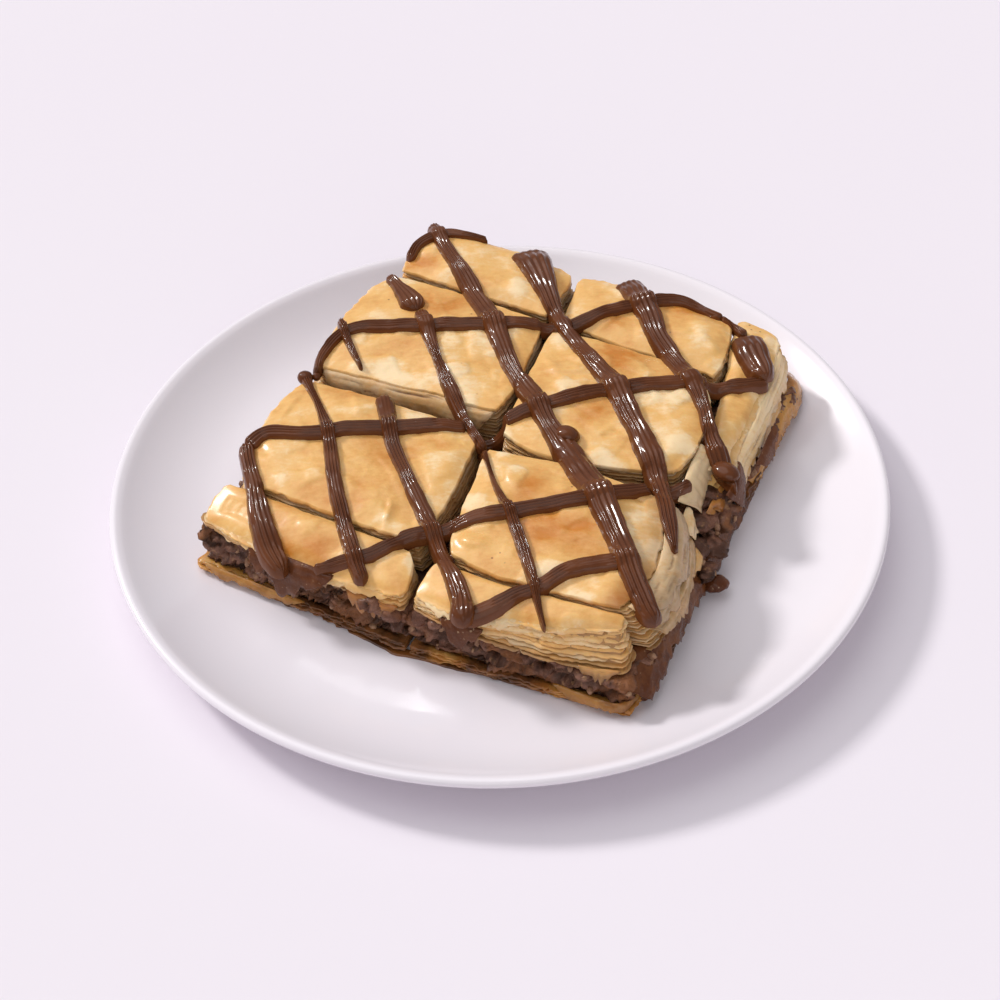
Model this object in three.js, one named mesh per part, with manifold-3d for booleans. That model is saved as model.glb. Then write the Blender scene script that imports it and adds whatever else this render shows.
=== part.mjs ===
// A square of chocolate baklava, scored into tiles and cut in four, on its round white plate.
// Millimetres, +Z up. The origin is the middle of the plate's foot, X is to the right and Y is to
// the back. The slab lies with one corner to the front, a little to the right.
import * as THREE from 'three';
import { mergeVertices } from 'three/addons/utils/BufferGeometryUtils.js';
import Module from 'manifold-3d';

const wasm = await Module();
wasm.setup();

// Driving dimensions of the plate
const PLATE_RADIUS = 115;
const RIM_HEIGHT = 15;
const FLOOR_TOP = 5;
const FLOOR_RADIUS = 84;
const LIP_WIDTH = 3;
const PLATE_WALL = 3.5;
const FOOT_INNER = 58;
const FOOT_OUTER = 64;
const FOOT_RECESS = 1.4;
const PLATE_SIDES = 56;
const SLOPE_RADII = [93, 100, 106.5];

// Driving dimensions of the slab: its corners on the plate and the ends of the two deep cuts
const LEFT_CORNER = [-87, -24.5];
const NEAR_CORNER = [33, -86];
const RIGHT_CORNER = [92, 33];
const FAR_CORNER = [-21, 94];
const CUT_CENTRE = [-1.7, -1.2];
const CUT_FRONT = [-27, -60];
const CUT_BACK = [28, 73];
const CUT_LEFT = [-57, 31.5];
const CUT_RIGHT = [60, -29];
const DEEP_CUT_WIDTH = 2;
const REST_GAP = 0.25;
const SHEET_GAP = 0.3;
const CONTACT_GAP = 0.1;

// Heights of the three layers: the middle of the slab and the slopes along X and Y
const BASE_TOP = { middle: 9.3, alongX: 0, alongY: 0.015 };
const FILLING_TOP = { middle: 19.4, alongX: -0.03, alongY: 0.02 };
const FILLING_INSET = 2.2;
const OUTLINE_STEP = 8.5;
const CROWN = 2;
const CROWN_UNEVENNESS = 0.35;
const TILE_ROUNDING = 0.05;

// The drizzle: a strand's thickness grows with its width, and its edges sink into the leaves
const DRIZZLE_THINNEST = 1.2;
const DRIZZLE_THICKER = 0.2;
const DRIZZLE_STEP = 9;
const DRIZZLE_SINK = 1.4;
const DRIZZLE_EDGE = 0.3;
const DRIZZLE_BLUNT_END = 0.45;
const DRIZZLE_SAG = 2;
const DRIZZLE_FALL = 1.1;
const DRIP_THICKNESS = 1.6;
const DRIP_SWELLING = 0.8;

// Detail under this size is dropped from a finished tile
const SMOOTHING = 0.2;

// Top tiles. corners: back-left, back-right, front-right, front-left as [x, y, height]. bulge and
// flare, in the order back, right, front, left: how far a side bows out, and how far it spreads
// on its way down, which a steepness under 1 lets start early. foot: how far the corners move in
// plan on the way down.
const TILES = {
  top_back_left_rear: {
    corners: [[-18, 95, 37], [26, 71.5, 34], [16.5, 51.5, 34], [-28.5, 75.5, 35]],
    bulge: [1, 0, 0, 0],
    flare: [2, 1, 1, 2],
  },
  top_back_left_front: {
    corners: [[-30.6, 74, 34.5], [14.8, 49.5, 34], [0.5, 8.5, 33], [-53.5, 33.5, 32]],
    bulge: [0, 1.5, -1, 4],
    flare: [1, 1.5, 3.5, 2],
  },
  top_front_left_rear: {
    corners: [[-57, 28.5, 31], [-4.5, -1.5, 32], [-22, -42.8, 30.3], [-73.5, -13.4, 30.5]],
    bulge: [1.5, 0, 0.5, 3],
    flare: [1, 2, 1.5, 2],
  },
  top_front_left_edge: {
    corners: [[-77.5, -14, 29], [-23.8, -45, 29], [-27, -58.5, 25], [-84.5, -23.5, 23.5]],
    bulge: [0, 0, 1, 1],
    flare: [1, 1, 1.5, 1.5],
  },
  top_back_right_rear: {
    corners: [[28.5, 72, 32.5], [72.5, 46.5, 31], [66, 25, 30], [20.5, 50, 32]],
    bulge: [3, 1, 0, 0],
    flare: [2, 1, 1, 1],
  },
  top_back_right_front: {
    corners: [[18, 46.6, 33], [63.4, 23.6, 31], [50, -18, 30.5], [1, -0.5, 32]],
    bulge: [1, 4, 4, 0],
    flare: [1, 1, 2, 1],
  },
  top_back_right_side: {
    corners: [[75.5, 51, 30], [88, 42, 28], [62, -16, 21], [58.5, -15, 24]],
    bulge: [1, 1, 0, 0],
    flare: [2, 3.5, 3, 0],
    steepness: 0.7,
  },
  top_front_right_rear: {
    corners: [[-2.5, -7, 33], [44, -27.5, 32], [31.6, -71, 31], [-15, -47, 30.5]],
    bulge: [1, 5, 1.5, 0],
    flare: [1, 9.5, 1, 1],
    steepness: 0.65,
  },
  top_front_right_edge: {
    corners: [[-18.5, -49, 29], [32, -71.6, 29.3], [30.8, -75, 27.5], [-24, -58.5, 25.5]],
    bulge: [-1, 0, 3, 0],
    flare: [0, 1.5, 1, 1],
    foot: [[0, 0], [2, -2], [0.5, -6], [0, -1]],
  },
};

// Score lines through the top sheets only, each from the slab's outside to a deep cut
const SCORES = [
  [[-44, 82], [-30, 74.6], [17.2, 48.8]],
  [[-95, -3.4], [-75, -14], [-18.7, -45.3]],
  [[17.5, 49.6], [64.5, 24.2], [66.4, 23]],
  [[-20, -46], [-16, -47.4], [10, -61.5], [33, -71.8], [52, -81]],
  [[84, 80], [74.3, 50], [69, 33], [62, 6], [55, -26.8]],
];

// Drizzle, each strand as [x, y, width] along its middle
const STRANDS = [
  [[-27, 83, 3.4], [-20, 89, 4.4], [-13, 91, 4.2], [-4, 89, 3]],
  [[-52, 36, 3], [-47, 46, 4.5], [-28, 46, 5.4], [12, 46, 4.8], [42, 54, 4.9], [58, 58, 5.4], [69, 51, 3.6]],
  [[-73, -2, 5.5], [-68, 4, 5.5], [-57, 3, 5], [-12, 3, 5], [14, 11, 5], [44, 17, 5.4], [77, 22, 4.8]],
  [[-51, -45, 3.5], [-36, -45, 4.2], [-24, -40, 4.6], [10, -34, 5.2], [26, -31, 5.4], [54, -21, 3.6]],
  [[-10, -64, 5], [3, -60, 5.4], [16, -59, 5.5], [31, -55, 5.6]],
  [[-47, 50, 3], [-44, 40, 2.4], [-40, 29, 1.2]],
  [[-73, -2, 5], [-69, -18, 5], [-65, -33, 6], [-61, -38, 8]],
  [[-57, 28, 3], [-53, 14, 2.4], [-46, -22, 4.4], [-40, -47, 4.6]],
  [[-33, 15, 5.7], [-30, -5, 4.7], [-20, -35, 4.8], [-10, -65, 4.9]],
  [[-32, 72, 3.4], [-24, 53, 8.5], [-17, 27, 2.8], [-13, 18, 4.6], [-5, -5, 3]],
  [[-5, -5, 3], [-1, -24, 1.6], [4, -40, 3.6], [9, -66, 1.6]],
  [
    [-18, 93, 4.5], [-6, 61, 8], [6, 27, 6], [11, 14, 7], [15, 2, 6], [21, -11, 8.8], [29, -33, 9],
    [38, -69, 5],
  ],
  [[10, 80, 12], [15, 63, 8.4], [20, 48, 5.6], [29, 29, 5.4], [35, 17, 8], [45, -22, 5.8], [47, -48, 2.4]],
  [[44, 67, 7.6], [49, 51, 8.6], [51, 36, 6.6], [57, 25, 7], [61, 12, 5.4], [63, -9, 5]],
  [[72, 50, 3], [75, 43, 5.5], [76, 33, 10.5], [79, 24, 8]],
];

// Drips that hang over the front edge: [x, y, width, top, bottom]
const DRIPS = [
  [-62, -37.5, 9, 26, 14],
  [-54, -42.5, 8, 26, 12],
  [-41, -50, 5, 26, 18],
  [-9, -66, 6, 27, 13],
];

const cream = new THREE.Color(0.88, 0.66, 0.38);
const amber = new THREE.Color(0.62, 0.38, 0.14);
const nutBrown = new THREE.Color(0.2, 0.11, 0.07);
const white = new THREE.Color(0.86, 0.83, 0.87);

// Small numbers that make sides uneven: a smooth wave over the plan, and one step per leaf
function wave(x, y, seed) {
  return (Math.sin(x * 0.31 + seed * 2.1) + Math.sin(y * 0.27 - x * 0.12 + seed * 3.7)) / 2;
}

function heightOf(layer, x, y) {
  return layer.middle + layer.alongX * x + layer.alongY * y;
}

function toSolid(geometry) {
  const bare = geometry.clone();
  bare.deleteAttribute('normal');
  bare.deleteAttribute('uv');
  const merged = mergeVertices(bare, 1e-4);
  return new wasm.Manifold(new wasm.Mesh({
    numProp: 3,
    vertProperties: new Float32Array(merged.attributes.position.array),
    triVerts: new Uint32Array(merged.index.array),
  }));
}

function toGeometry(solid) {
  const { vertProperties, triVerts, numProp } = solid.getMesh();
  const positions = new Float32Array(vertProperties.length / numProp * 3);
  for (let i = 0; i < positions.length / 3; i += 1) {
    positions.set(vertProperties.subarray(i * numProp, i * numProp + 3), i * 3);
  }
  const geometry = new THREE.BufferGeometry();
  geometry.setAttribute('position', new THREE.BufferAttribute(positions, 3));
  geometry.setIndex(new THREE.BufferAttribute(triVerts, 1));
  geometry.computeVertexNormals();
  return geometry;
}

// The largest piece of a cut solid: loose scraps are dropped
function largest(solid) {
  return solid.decompose().reduce((best, piece) => (piece.volume() > best.volume() ? piece : best));
}

function plateFace(radius) {
  const outside = Math.max(0, radius - FLOOR_RADIUS);
  const reach = PLATE_RADIUS - LIP_WIDTH - FLOOR_RADIUS;
  return FLOOR_TOP + (RIM_HEIGHT - 0.4 - FLOOR_TOP) * (outside / reach) ** 2.1;
}

function plateSolid() {
  const lipInner = PLATE_RADIUS - LIP_WIDTH;
  const profile = [
    [0, FOOT_RECESS],
    [FOOT_INNER - 1, FOOT_RECESS],
    [FOOT_INNER, 0],
    [FOOT_OUTER, 0],
    [FOOT_OUTER + 2, FOOT_RECESS],
    [FLOOR_RADIUS, FLOOR_TOP - PLATE_WALL],
    ...SLOPE_RADII.map((radius) => [radius + 0.8, plateFace(radius) - PLATE_WALL]),
    [PLATE_RADIUS, RIM_HEIGHT - 1.6],
    [PLATE_RADIUS - 0.6, RIM_HEIGHT - 0.2],
    [PLATE_RADIUS - 1.7, RIM_HEIGHT],
    [lipInner, plateFace(lipInner)],
    ...SLOPE_RADII.map((radius) => [radius, plateFace(radius)]).reverse(),
    [FLOOR_RADIUS, FLOOR_TOP],
    [0, FLOOR_TOP],
  ];
  const points = profile.map(([radius, height]) => new THREE.Vector2(radius, height));
  const geometry = new THREE.LatheGeometry(points, PLATE_SIDES);
  geometry.rotateX(Math.PI / 2);
  return toSolid(geometry);
}

// Everything under the plate's face, lifted by the gap that the slab rests with
function plateClearance() {
  const points = [new THREE.Vector2(0, -20), new THREE.Vector2(PLATE_RADIUS, -20)];
  for (const radius of [PLATE_RADIUS - LIP_WIDTH, ...[...SLOPE_RADII].reverse(), FLOOR_RADIUS, 0]) {
    points.push(new THREE.Vector2(radius, plateFace(radius) + REST_GAP));
  }
  const geometry = new THREE.LatheGeometry(points, PLATE_SIDES);
  geometry.rotateX(Math.PI / 2);
  return toSolid(geometry);
}

// The slab's outline: straight runs between corners and cut ends, each bowed out a little
function slabOutline(inset) {
  const runs = [
    [LEFT_CORNER, CUT_FRONT, 0.5],
    [CUT_FRONT, NEAR_CORNER, 0.5],
    [NEAR_CORNER, CUT_RIGHT, 2],
    [CUT_RIGHT, RIGHT_CORNER, 1],
    [RIGHT_CORNER, CUT_BACK, 1.5],
    [CUT_BACK, FAR_CORNER, 1],
    [FAR_CORNER, CUT_LEFT, 3],
    [CUT_LEFT, LEFT_CORNER, 0],
  ];
  const points = [];
  for (const [from, to, bow] of runs) {
    const start = new THREE.Vector2(...from);
    const run = new THREE.Vector2(...to).sub(start);
    const outward = new THREE.Vector2(run.y, -run.x).normalize();
    const steps = Math.round(run.length() / OUTLINE_STEP);
    for (let i = 0; i < steps; i += 1) {
      const t = i / steps;
      const point = start.clone().addScaledVector(run, t);
      point.addScaledVector(outward, bow * 4 * t * (1 - t));
      points.push(point.multiplyScalar(1 - inset / point.length()));
    }
  }
  return new THREE.Shape(points);
}

// A layer of the slab between two sloping faces. ledges: how far each level stands out.
function slabLayer({ inset, bottom, top, ledges, seed, grow = 0 }) {
  const levels = ledges.length - 1;
  const geometry = new THREE.ExtrudeGeometry(slabOutline(inset), {
    depth: levels,
    steps: levels,
    bevelEnabled: false,
    curveSegments: 1,
  });
  const position = geometry.attributes.position;
  for (let i = 0; i < position.count; i += 1) {
    const x = position.getX(i);
    const y = position.getY(i);
    const level = Math.round(position.getZ(i));
    const low = bottom(x, y);
    const reach = Math.hypot(x, y);
    const out = grow + ledges[level] * (1 + 0.6 * wave(x, y, seed + level)) + 0.5 * wave(x, y, seed);
    position.setXYZ(
      i,
      x * (1 + out / reach),
      y * (1 + out / reach),
      low + (top(x, y) - low) * level / levels,
    );
  }
  return toSolid(geometry);
}

// A thin upright blade along a line of points
function blade(line, width) {
  const sides = [[], []];
  line.forEach(([x, y], i) => {
    const [x0, y0] = line[Math.max(i - 1, 0)];
    const [x1, y1] = line[Math.min(i + 1, line.length - 1)];
    const across = new THREE.Vector2(y0 - y1, x1 - x0).setLength(width / 2);
    sides[0].push(new THREE.Vector2(x, y).add(across));
    sides[1].unshift(new THREE.Vector2(x, y).sub(across));
  });
  const outline = new THREE.Shape([...sides[1].reverse(), ...sides[0].reverse()]);
  const geometry = new THREE.ExtrudeGeometry(outline, { depth: 80, bevelEnabled: false });
  geometry.translate(0, 0, -10);
  return toSolid(geometry);
}

function beyond([x, y], reach) {
  const length = Math.hypot(x, y);
  return [x * (1 + reach / length), y * (1 + reach / length)];
}

const OVERRUN = 25;
const FRONT_TO_BACK = [CUT_FRONT, [-17, -40], CUT_CENTRE, [17.2, 48.6], CUT_BACK];
const LEFT_TO_RIGHT = [CUT_LEFT, CUT_CENTRE, [20, -12.5], [47, -23], CUT_RIGHT];
const DEEP_CUTS = [FRONT_TO_BACK, LEFT_TO_RIGHT].map((line) => (
  [beyond(line[0], OVERRUN), ...line, beyond(line.at(-1), OVERRUN)]
));

// One layer cut in four by the deep cuts, each quarter under its name
function quarters(layer) {
  const cut = DEEP_CUTS.reduce((solid, line) => solid.subtract(blade(line, DEEP_CUT_WIDTH)), layer);
  const pieces = cut.decompose();
  const places = {
    back_left: [-15, 50],
    back_right: [45, 25],
    front_right: [15, -45],
    front_left: [-50, -15],
  };
  const named = {};
  for (const [name, [x, y]] of Object.entries(places)) {
    const distance = (piece) => {
      const { min, max } = piece.boundingBox();
      return Math.hypot((min[0] + max[0]) / 2 - x, (min[1] + max[1]) / 2 - y) - piece.volume() / 1000;
    };
    named[name] = pieces.reduce((best, piece) => (distance(piece) < distance(best) ? piece : best));
  }
  return named;
}

// Outward direction of each side of a tile, in the order back, right, front, left
function sideDirections(corners) {
  const middle = new THREE.Vector2();
  corners.forEach(([x, y]) => middle.add(new THREE.Vector2(x / 4, y / 4)));
  return corners.map(([x, y], i) => {
    const [nextX, nextY] = corners[(i + 1) % 4];
    const outward = new THREE.Vector2(nextY - y, x - nextX).normalize();
    const toSide = new THREE.Vector2((x + nextX) / 2, (y + nextY) / 2).sub(middle);
    return outward.dot(toSide) < 0 ? outward.negate() : outward;
  });
}

// How far each leaf stands out on the side of a tile, from the filling up to the top leaf
const LEAF_LEDGES = [0, 0.8, -0.5, 0.7, 0];

// A pile of baked leaves with a pillowy top: a box bent to its corners, bulges and flares
function tileSolid({ corners, bulge, flare, steepness = 1.2, foot = [] }, seed) {
  const levels = LEAF_LEDGES.length - 1;
  const depth = Math.hypot(corners[0][0] - corners[3][0], corners[0][1] - corners[3][1]);
  const geometry = new THREE.BoxGeometry(2, 2, 2, 6, depth > 30 ? 5 : 3, levels);
  const directions = sideDirections(corners);
  const position = geometry.attributes.position;
  for (let i = 0; i < position.count; i += 1) {
    const a = position.getX(i);
    const b = position.getY(i);
    const up = (position.getZ(i) + 1) / 2;
    const across = a * (1 - TILE_ROUNDING * b ** 6);
    const along = b * (1 - TILE_ROUNDING * a ** 6);
    const u = (across + 1) / 2;
    const v = (along + 1) / 2;
    const weights = [(1 - u) * v, u * v, u * (1 - v), (1 - u) * (1 - v)];
    const point = new THREE.Vector3();
    corners.forEach((corner, side) => point.addScaledVector(new THREE.Vector3(...corner), weights[side]));
    const atSide = Math.max(Math.abs(a), Math.abs(b)) === 1;
    const unevenness = 1 + 0.7 * wave(point.x, point.y, seed);
    const ledge = atSide ? LEAF_LEDGES[Math.round(up * levels)] * unevenness : 0;
    const spread = (1 - up) ** steepness;
    foot.forEach(([x, y], corner) => {
      point.x += x * spread * weights[corner];
      point.y += y * spread * weights[corner];
    });
    const nearness = [v, u, 1 - v, 1 - u];
    directions.forEach((direction, side) => {
      const sideways = side % 2 === 0 ? a : b;
      const out = bulge[side] * (1 - sideways ** 2) + flare[side] * spread + ledge;
      point.x += direction.x * out * nearness[side];
      point.y += direction.y * out * nearness[side];
    });
    const pillow = CROWN * (1 - a ** 4) * (1 - b ** 4);
    const top = point.z + pillow + CROWN_UNEVENNESS * wave(point.x, point.y, seed + 5);
    const bottom = heightOf(FILLING_TOP, point.x, point.y) + SHEET_GAP / 2;
    position.setXYZ(i, point.x, point.y, bottom + (top - bottom) * up);
  }
  return toSolid(geometry);
}

// The height that a strand lies at, found by dropping a point onto the tiles
function restHeights(columns, surface) {
  const ray = new THREE.Raycaster();
  const down = new THREE.Vector3(0, 0, -1);
  const heights = columns.map(({ x, y }) => {
    ray.set(new THREE.Vector3(x, y, 90), down);
    const hit = ray.intersectObject(surface)[0];
    return hit ? hit.point.z : null;
  });
  return heights.map((height, i) => {
    if (height !== null) {
      return height;
    }
    const before = heights.slice(0, i).findLastIndex((value) => value !== null);
    const after = heights.findIndex((value, j) => j > i && value !== null);
    if (before < 0 || after < 0) {
      const nearest = before < 0 ? after : before;
      return heights[nearest] - DRIZZLE_FALL * columns[i].distanceTo(columns[nearest]);
    }
    const t = (i - before) / (after - before);
    return THREE.MathUtils.lerp(heights[before], heights[after], t) - DRIZZLE_SAG * t * (1 - t);
  });
}

// A strand of drizzle: a box swept along its line, with a domed top, lying on the tiles
function strandSolid(strand, surface) {
  const points = strand.map((point) => new THREE.Vector3(...point));
  const curve = new THREE.CatmullRomCurve3(points, false, 'centripetal');
  const steps = Math.max(3, Math.round(curve.getLength() / DRIZZLE_STEP));
  const middles = [];
  const normals = [];
  for (let i = 0; i <= steps; i += 1) {
    const tangent = curve.getTangentAt(i / steps);
    middles.push(curve.getPointAt(i / steps));
    normals.push(new THREE.Vector2(-tangent.y, tangent.x).normalize());
  }
  const pointAt = (i, side) => {
    const blunt = i === 0 || i === steps ? DRIZZLE_BLUNT_END : 1;
    return new THREE.Vector2(middles[i].x, middles[i].y)
      .addScaledVector(normals[i], side * blunt * middles[i].z / 2);
  };
  const rows = [-1, 0, 1].map((side) => restHeights(middles.map((_, i) => pointAt(i, side)), surface));
  const geometry = new THREE.BoxGeometry(steps, 2, 2, steps, 3, 1);
  const position = geometry.attributes.position;
  for (let j = 0; j < position.count; j += 1) {
    const i = Math.round(position.getX(j) + steps / 2);
    const side = position.getY(j);
    const { x, y } = pointAt(i, side);
    const rest = (rows[side < 0 ? 0 : 2][i] + rows[1][i]) / 2;
    const thickness = DRIZZLE_THINNEST + DRIZZLE_THICKER * middles[i].z;
    const dome = thickness * Math.sqrt(Math.max(0, 1 - side ** 2)) - DRIZZLE_EDGE;
    const rise = position.getZ(j) > 0 ? dome : -DRIZZLE_SINK;
    position.setXYZ(j, x, y, rest + rise);
  }
  return toSolid(geometry);
}

// A drip: a flattened drop that hangs over the edge and thickens towards its end
function dripSolid([x, y, width, top, bottom]) {
  const geometry = new THREE.SphereGeometry(1, 8, 5);
  const outward = new THREE.Vector2(x, y).normalize();
  const position = geometry.attributes.position;
  for (let i = 0; i < position.count; i += 1) {
    const down = (1 - position.getY(i)) / 2;
    const side = position.getX(i) * width / 2 * (0.8 + 0.2 * Math.cos(down * 5));
    const out = position.getZ(i) * (DRIP_THICKNESS + DRIP_SWELLING * down) + 0.6 + 1.2 * down;
    position.setXYZ(
      i,
      x - outward.y * side + outward.x * out,
      y + outward.x * side + outward.y * out,
      THREE.MathUtils.lerp(top, bottom, down),
    );
  }
  return toSolid(geometry);
}

// The room each tile has, out to the middle of the cuts round it
function tileRooms() {
  const block = new THREE.BoxGeometry(290, 290, 60);
  block.translate(0, 0, 33);
  const cuts = [...DEEP_CUTS, ...SCORES];
  return cuts.reduce((solid, cut) => solid.subtract(blade(cut, 0.5)), toSolid(block)).decompose();
}

function joined(solids) {
  return solids.reduce((whole, solid) => whole.add(solid));
}

// The tiles with the drizzle and drips that lie on them
function toppedTiles() {
  const bare = {};
  Object.entries(TILES).forEach(([name, tile], i) => {
    bare[name] = tileSolid(tile, i + 1);
  });
  const surface = new THREE.Mesh(toGeometry(joined(Object.values(bare))));
  const drizzle = joined([
    ...STRANDS.map((strand) => strandSolid(strand, surface)),
    ...DRIPS.map(dripSolid),
  ]).subtract(fillingWithMargin(SHEET_GAP + SMOOTHING));
  const filling = fillingWithMargin(CONTACT_GAP);
  const rooms = tileRooms();
  const topped = {};
  for (const [name, solid] of Object.entries(bare)) {
    const room = rooms.reduce((best, candidate) => (
      candidate.intersect(solid).volume() > best.intersect(solid).volume() ? candidate : best
    ));
    const smoothed = solid.add(drizzle).intersect(room).simplify(SMOOTHING);
    topped[name] = largest(smoothed.subtract(filling));
  }
  return topped;
}

const slab = new THREE.Group();

function place(name, solid, color, roughness) {
  const material = new THREE.MeshStandardMaterial({ color, roughness, metalness: 0 });
  const mesh = new THREE.Mesh(toGeometry(solid), material);
  mesh.name = name;
  slab.add(mesh);
}

place('plate', plateSolid(), white, 0.15);

const base = slabLayer({
  inset: 0,
  bottom: () => FLOOR_TOP - 1,
  top: (x, y) => heightOf(BASE_TOP, x, y) - SHEET_GAP / 2,
  ledges: [0, -0.6, 0.3, -0.8],
  seed: 2,
}).subtract(plateClearance());
for (const [name, solid] of Object.entries(quarters(base))) {
  place(`base_${name}`, largest(solid), amber, 0.35);
}

const fillingShape = {
  inset: FILLING_INSET,
  bottom: (x, y) => heightOf(BASE_TOP, x, y) + SHEET_GAP / 2,
  top: (x, y) => heightOf(FILLING_TOP, x, y) - SHEET_GAP / 2,
  ledges: [0.3, -0.9, 0.8, -0.5, 0.4],
  seed: 4,
};
for (const [name, solid] of Object.entries(quarters(slabLayer(fillingShape)))) {
  place(`filling_${name}`, largest(solid), nutBrown, 0.7);
}

// The filling grown by a margin on its sides and top, to keep other pieces clear of it
function fillingWithMargin(margin) {
  return slabLayer({
    ...fillingShape,
    grow: margin,
    top: (x, y) => heightOf(FILLING_TOP, x, y) + margin - SHEET_GAP / 2,
  });
}

for (const [name, solid] of Object.entries(toppedTiles())) {
  place(name, solid, cream, 0.4);
}

export default slab;
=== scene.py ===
# A square of chocolate baklava on a round white plate, dressed for a plain studio picture.
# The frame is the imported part's: X to the right, Y to the back, Z up. Sizes are in millimetres
# until a mesh is made, and node trees work in metres.
import math

import bmesh
import bpy
import numpy as np
from mathutils import Matrix, Vector
from mathutils.bvhtree import BVHTree


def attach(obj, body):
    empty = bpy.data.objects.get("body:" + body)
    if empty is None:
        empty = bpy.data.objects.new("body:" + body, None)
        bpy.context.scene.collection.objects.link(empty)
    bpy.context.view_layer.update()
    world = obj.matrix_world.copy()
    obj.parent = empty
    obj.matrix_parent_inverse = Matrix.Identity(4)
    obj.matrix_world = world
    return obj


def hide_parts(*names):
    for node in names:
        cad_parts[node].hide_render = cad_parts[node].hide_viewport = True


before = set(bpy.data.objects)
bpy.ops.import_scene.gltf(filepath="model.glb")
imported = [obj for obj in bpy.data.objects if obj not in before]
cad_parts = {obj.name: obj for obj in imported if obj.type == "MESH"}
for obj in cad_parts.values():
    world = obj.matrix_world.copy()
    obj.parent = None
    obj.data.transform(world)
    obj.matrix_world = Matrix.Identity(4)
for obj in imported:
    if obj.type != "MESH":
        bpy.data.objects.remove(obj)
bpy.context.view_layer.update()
MM = 0.001

# Sizes of the plate, as in the part
PLATE_RADIUS = 115
RIM_HEIGHT = 15
FLOOR_TOP = 5
FLOOR_RADIUS = 84
LIP_WIDTH = 3
PLATE_WALL = 3.5
FOOT_INNER = 58
FOOT_OUTER = 64
FOOT_RECESS = 1.4
PLATE_SIDES = 192

# Its face: how high it ends at the lip, how late it rises and in how many steps
FACE_END = RIM_HEIGHT - 0.4
FACE_CURVE = 2.1
FACE_ROWS = 22

# The slab: its corners and the two deep cuts that quarter it
LEFT_CORNER = (-87, -24.5)
NEAR_CORNER = (33, -86)
RIGHT_CORNER = (92, 33)
FAR_CORNER = (-21, 94)
FRONT_TO_BACK = [(-27, -60), (-17, -40), (-1.7, -1.2), (17.2, 48.6), (28, 73)]
LEFT_TO_RIGHT = [(-57, 31.5), (-1.7, -1.2), (20, -12.5), (47, -23), (60, -29)]
HALF_CUT = 1.0
SIDE_STEPS = 24

# Its quarters: whether each is at the back and at the left, its outer corner, and how far its
# two outer sides bow out
QUARTERS = {
    "back_left": (True, True, FAR_CORNER, (1, 3)),
    "back_right": (True, False, RIGHT_CORNER, (1.5, 1)),
    "front_right": (False, False, NEAR_CORNER, (0.5, 2)),
    "front_left": (False, True, LEFT_CORNER, (0.5, 0)),
}

# Heights of its layers, each with its rise for every millimetre to the right and to the back
BASE_TOP = (9.3, 0, 0.015)
FILLING_TOP = (19.4, -0.03, 0.02)

# How far a tile domes, how high its leaves start over the filling, and how far its pile of
# leaves ends under the uppermost one. The base keeps the other gaps to plate and filling.
CROWN = 2
TILE_GAP = 0.15
CROWN_GAP = 0.5
PLATE_GAP = 0.3
BASE_GAP = 0.2

# Top tiles: corners back-left, back-right, front-right, front-left with their heights, then for
# the back, right, front and left sides how far they bow out, how far they spread on the way down
# (evenly at a steepness of 1, sooner below it) and how open they are to the outside. A foot
# moves the corners at the bottom, raised is how far these stay above the filling, and the last
# value, the painted shade on the right, is how much shade is painted as a brown stain on the top
# towards its right side.
TILES = {
    "back_left_rear": dict(
        corners=[(-18, 95, 37), (26, 71.5, 34), (16.5, 51.5, 34), (-28.5, 75.5, 35)],
        bulge=(1, 0, 0, 0), flare=(2, 1, 1, 2), open=(1, 0.3, 0.4, 1)),
    "back_left_front": dict(
        corners=[(-30.6, 74, 34.5), (14.8, 49.5, 34), (0.5, 8.5, 33), (-53.5, 33.5, 32)],
        bulge=(0, 1.5, -1, 4), flare=(1, 1.5, 3.5, 2), open=(0.5, 0.3, 0.3, 1)),
    "front_left_rear": dict(
        corners=[(-57, 28.5, 31), (-4.5, -1.5, 32), (-22, -42.8, 30.3), (-73.5, -13.4, 30.5)],
        bulge=(1.5, 0, 0.5, 3), flare=(1, 2, 1.5, 2), open=(0.5, 0.3, 0.5, 1)),
    "front_left_edge": dict(
        corners=[(-77.5, -14, 29), (-23.8, -45, 29), (-27, -58.5, 25), (-84.5, -23.5, 23.5)],
        bulge=(0, 0, 1, 1), flare=(1, 1, 1.5, 1.5), raised=(0, 0, 1, 2), open=(0.6, 0.5, 1, 1)),
    "back_right_rear": dict(
        corners=[(28.5, 72, 32.5), (72.5, 46.5, 31), (66, 25, 30), (20.5, 50, 32)],
        bulge=(3, 1, 0, 0), flare=(2, 1, 1, 1), open=(1, 0.6, 0.4, 0.3)),
    "back_right_front": dict(
        corners=[(18, 46.6, 33), (63.4, 23.6, 31), (50, -18, 30.5), (1, -0.5, 32)],
        bulge=(1, 4, 4, 0), flare=(1, 1, 2, 1), open=(0.5, 0.6, 0.4, 0.3)),
    "back_right_side": dict(
        corners=[(75.5, 51, 30), (88, 42, 28), (62, -16, 21), (58.5, -15, 24)],
        bulge=(1, 1, 0, 0), flare=(2, 3.5, 3, 0), steepness=0.7, open=(1, 1, 1, 0.5)),
    "front_right_rear": dict(
        corners=[(-2.5, -7, 33), (44, -27.5, 32), (31.6, -71, 31), (-15, -47, 30.5)],
        bulge=(1, 5, 1.5, 0), flare=(1, 9.5, 1, 1), steepness=0.65, open=(0.3, 1, 0.4, 0.3),
        painted_shade_right=0.45),
    "front_right_edge": dict(
        corners=[(-18.5, -49, 29), (32, -71.6, 29.3), (30.8, -75, 27.5), (-24, -58.5, 25.5)],
        bulge=(-1, 0, 3, 0), flare=(0, 1.5, 1, 1), foot=[(0, 0), (2, -2), (0.5, -6), (0, -1)],
        raised=(0, 0, 0, 3), open=(0.5, 1, 1, 0.5)),
}

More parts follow.
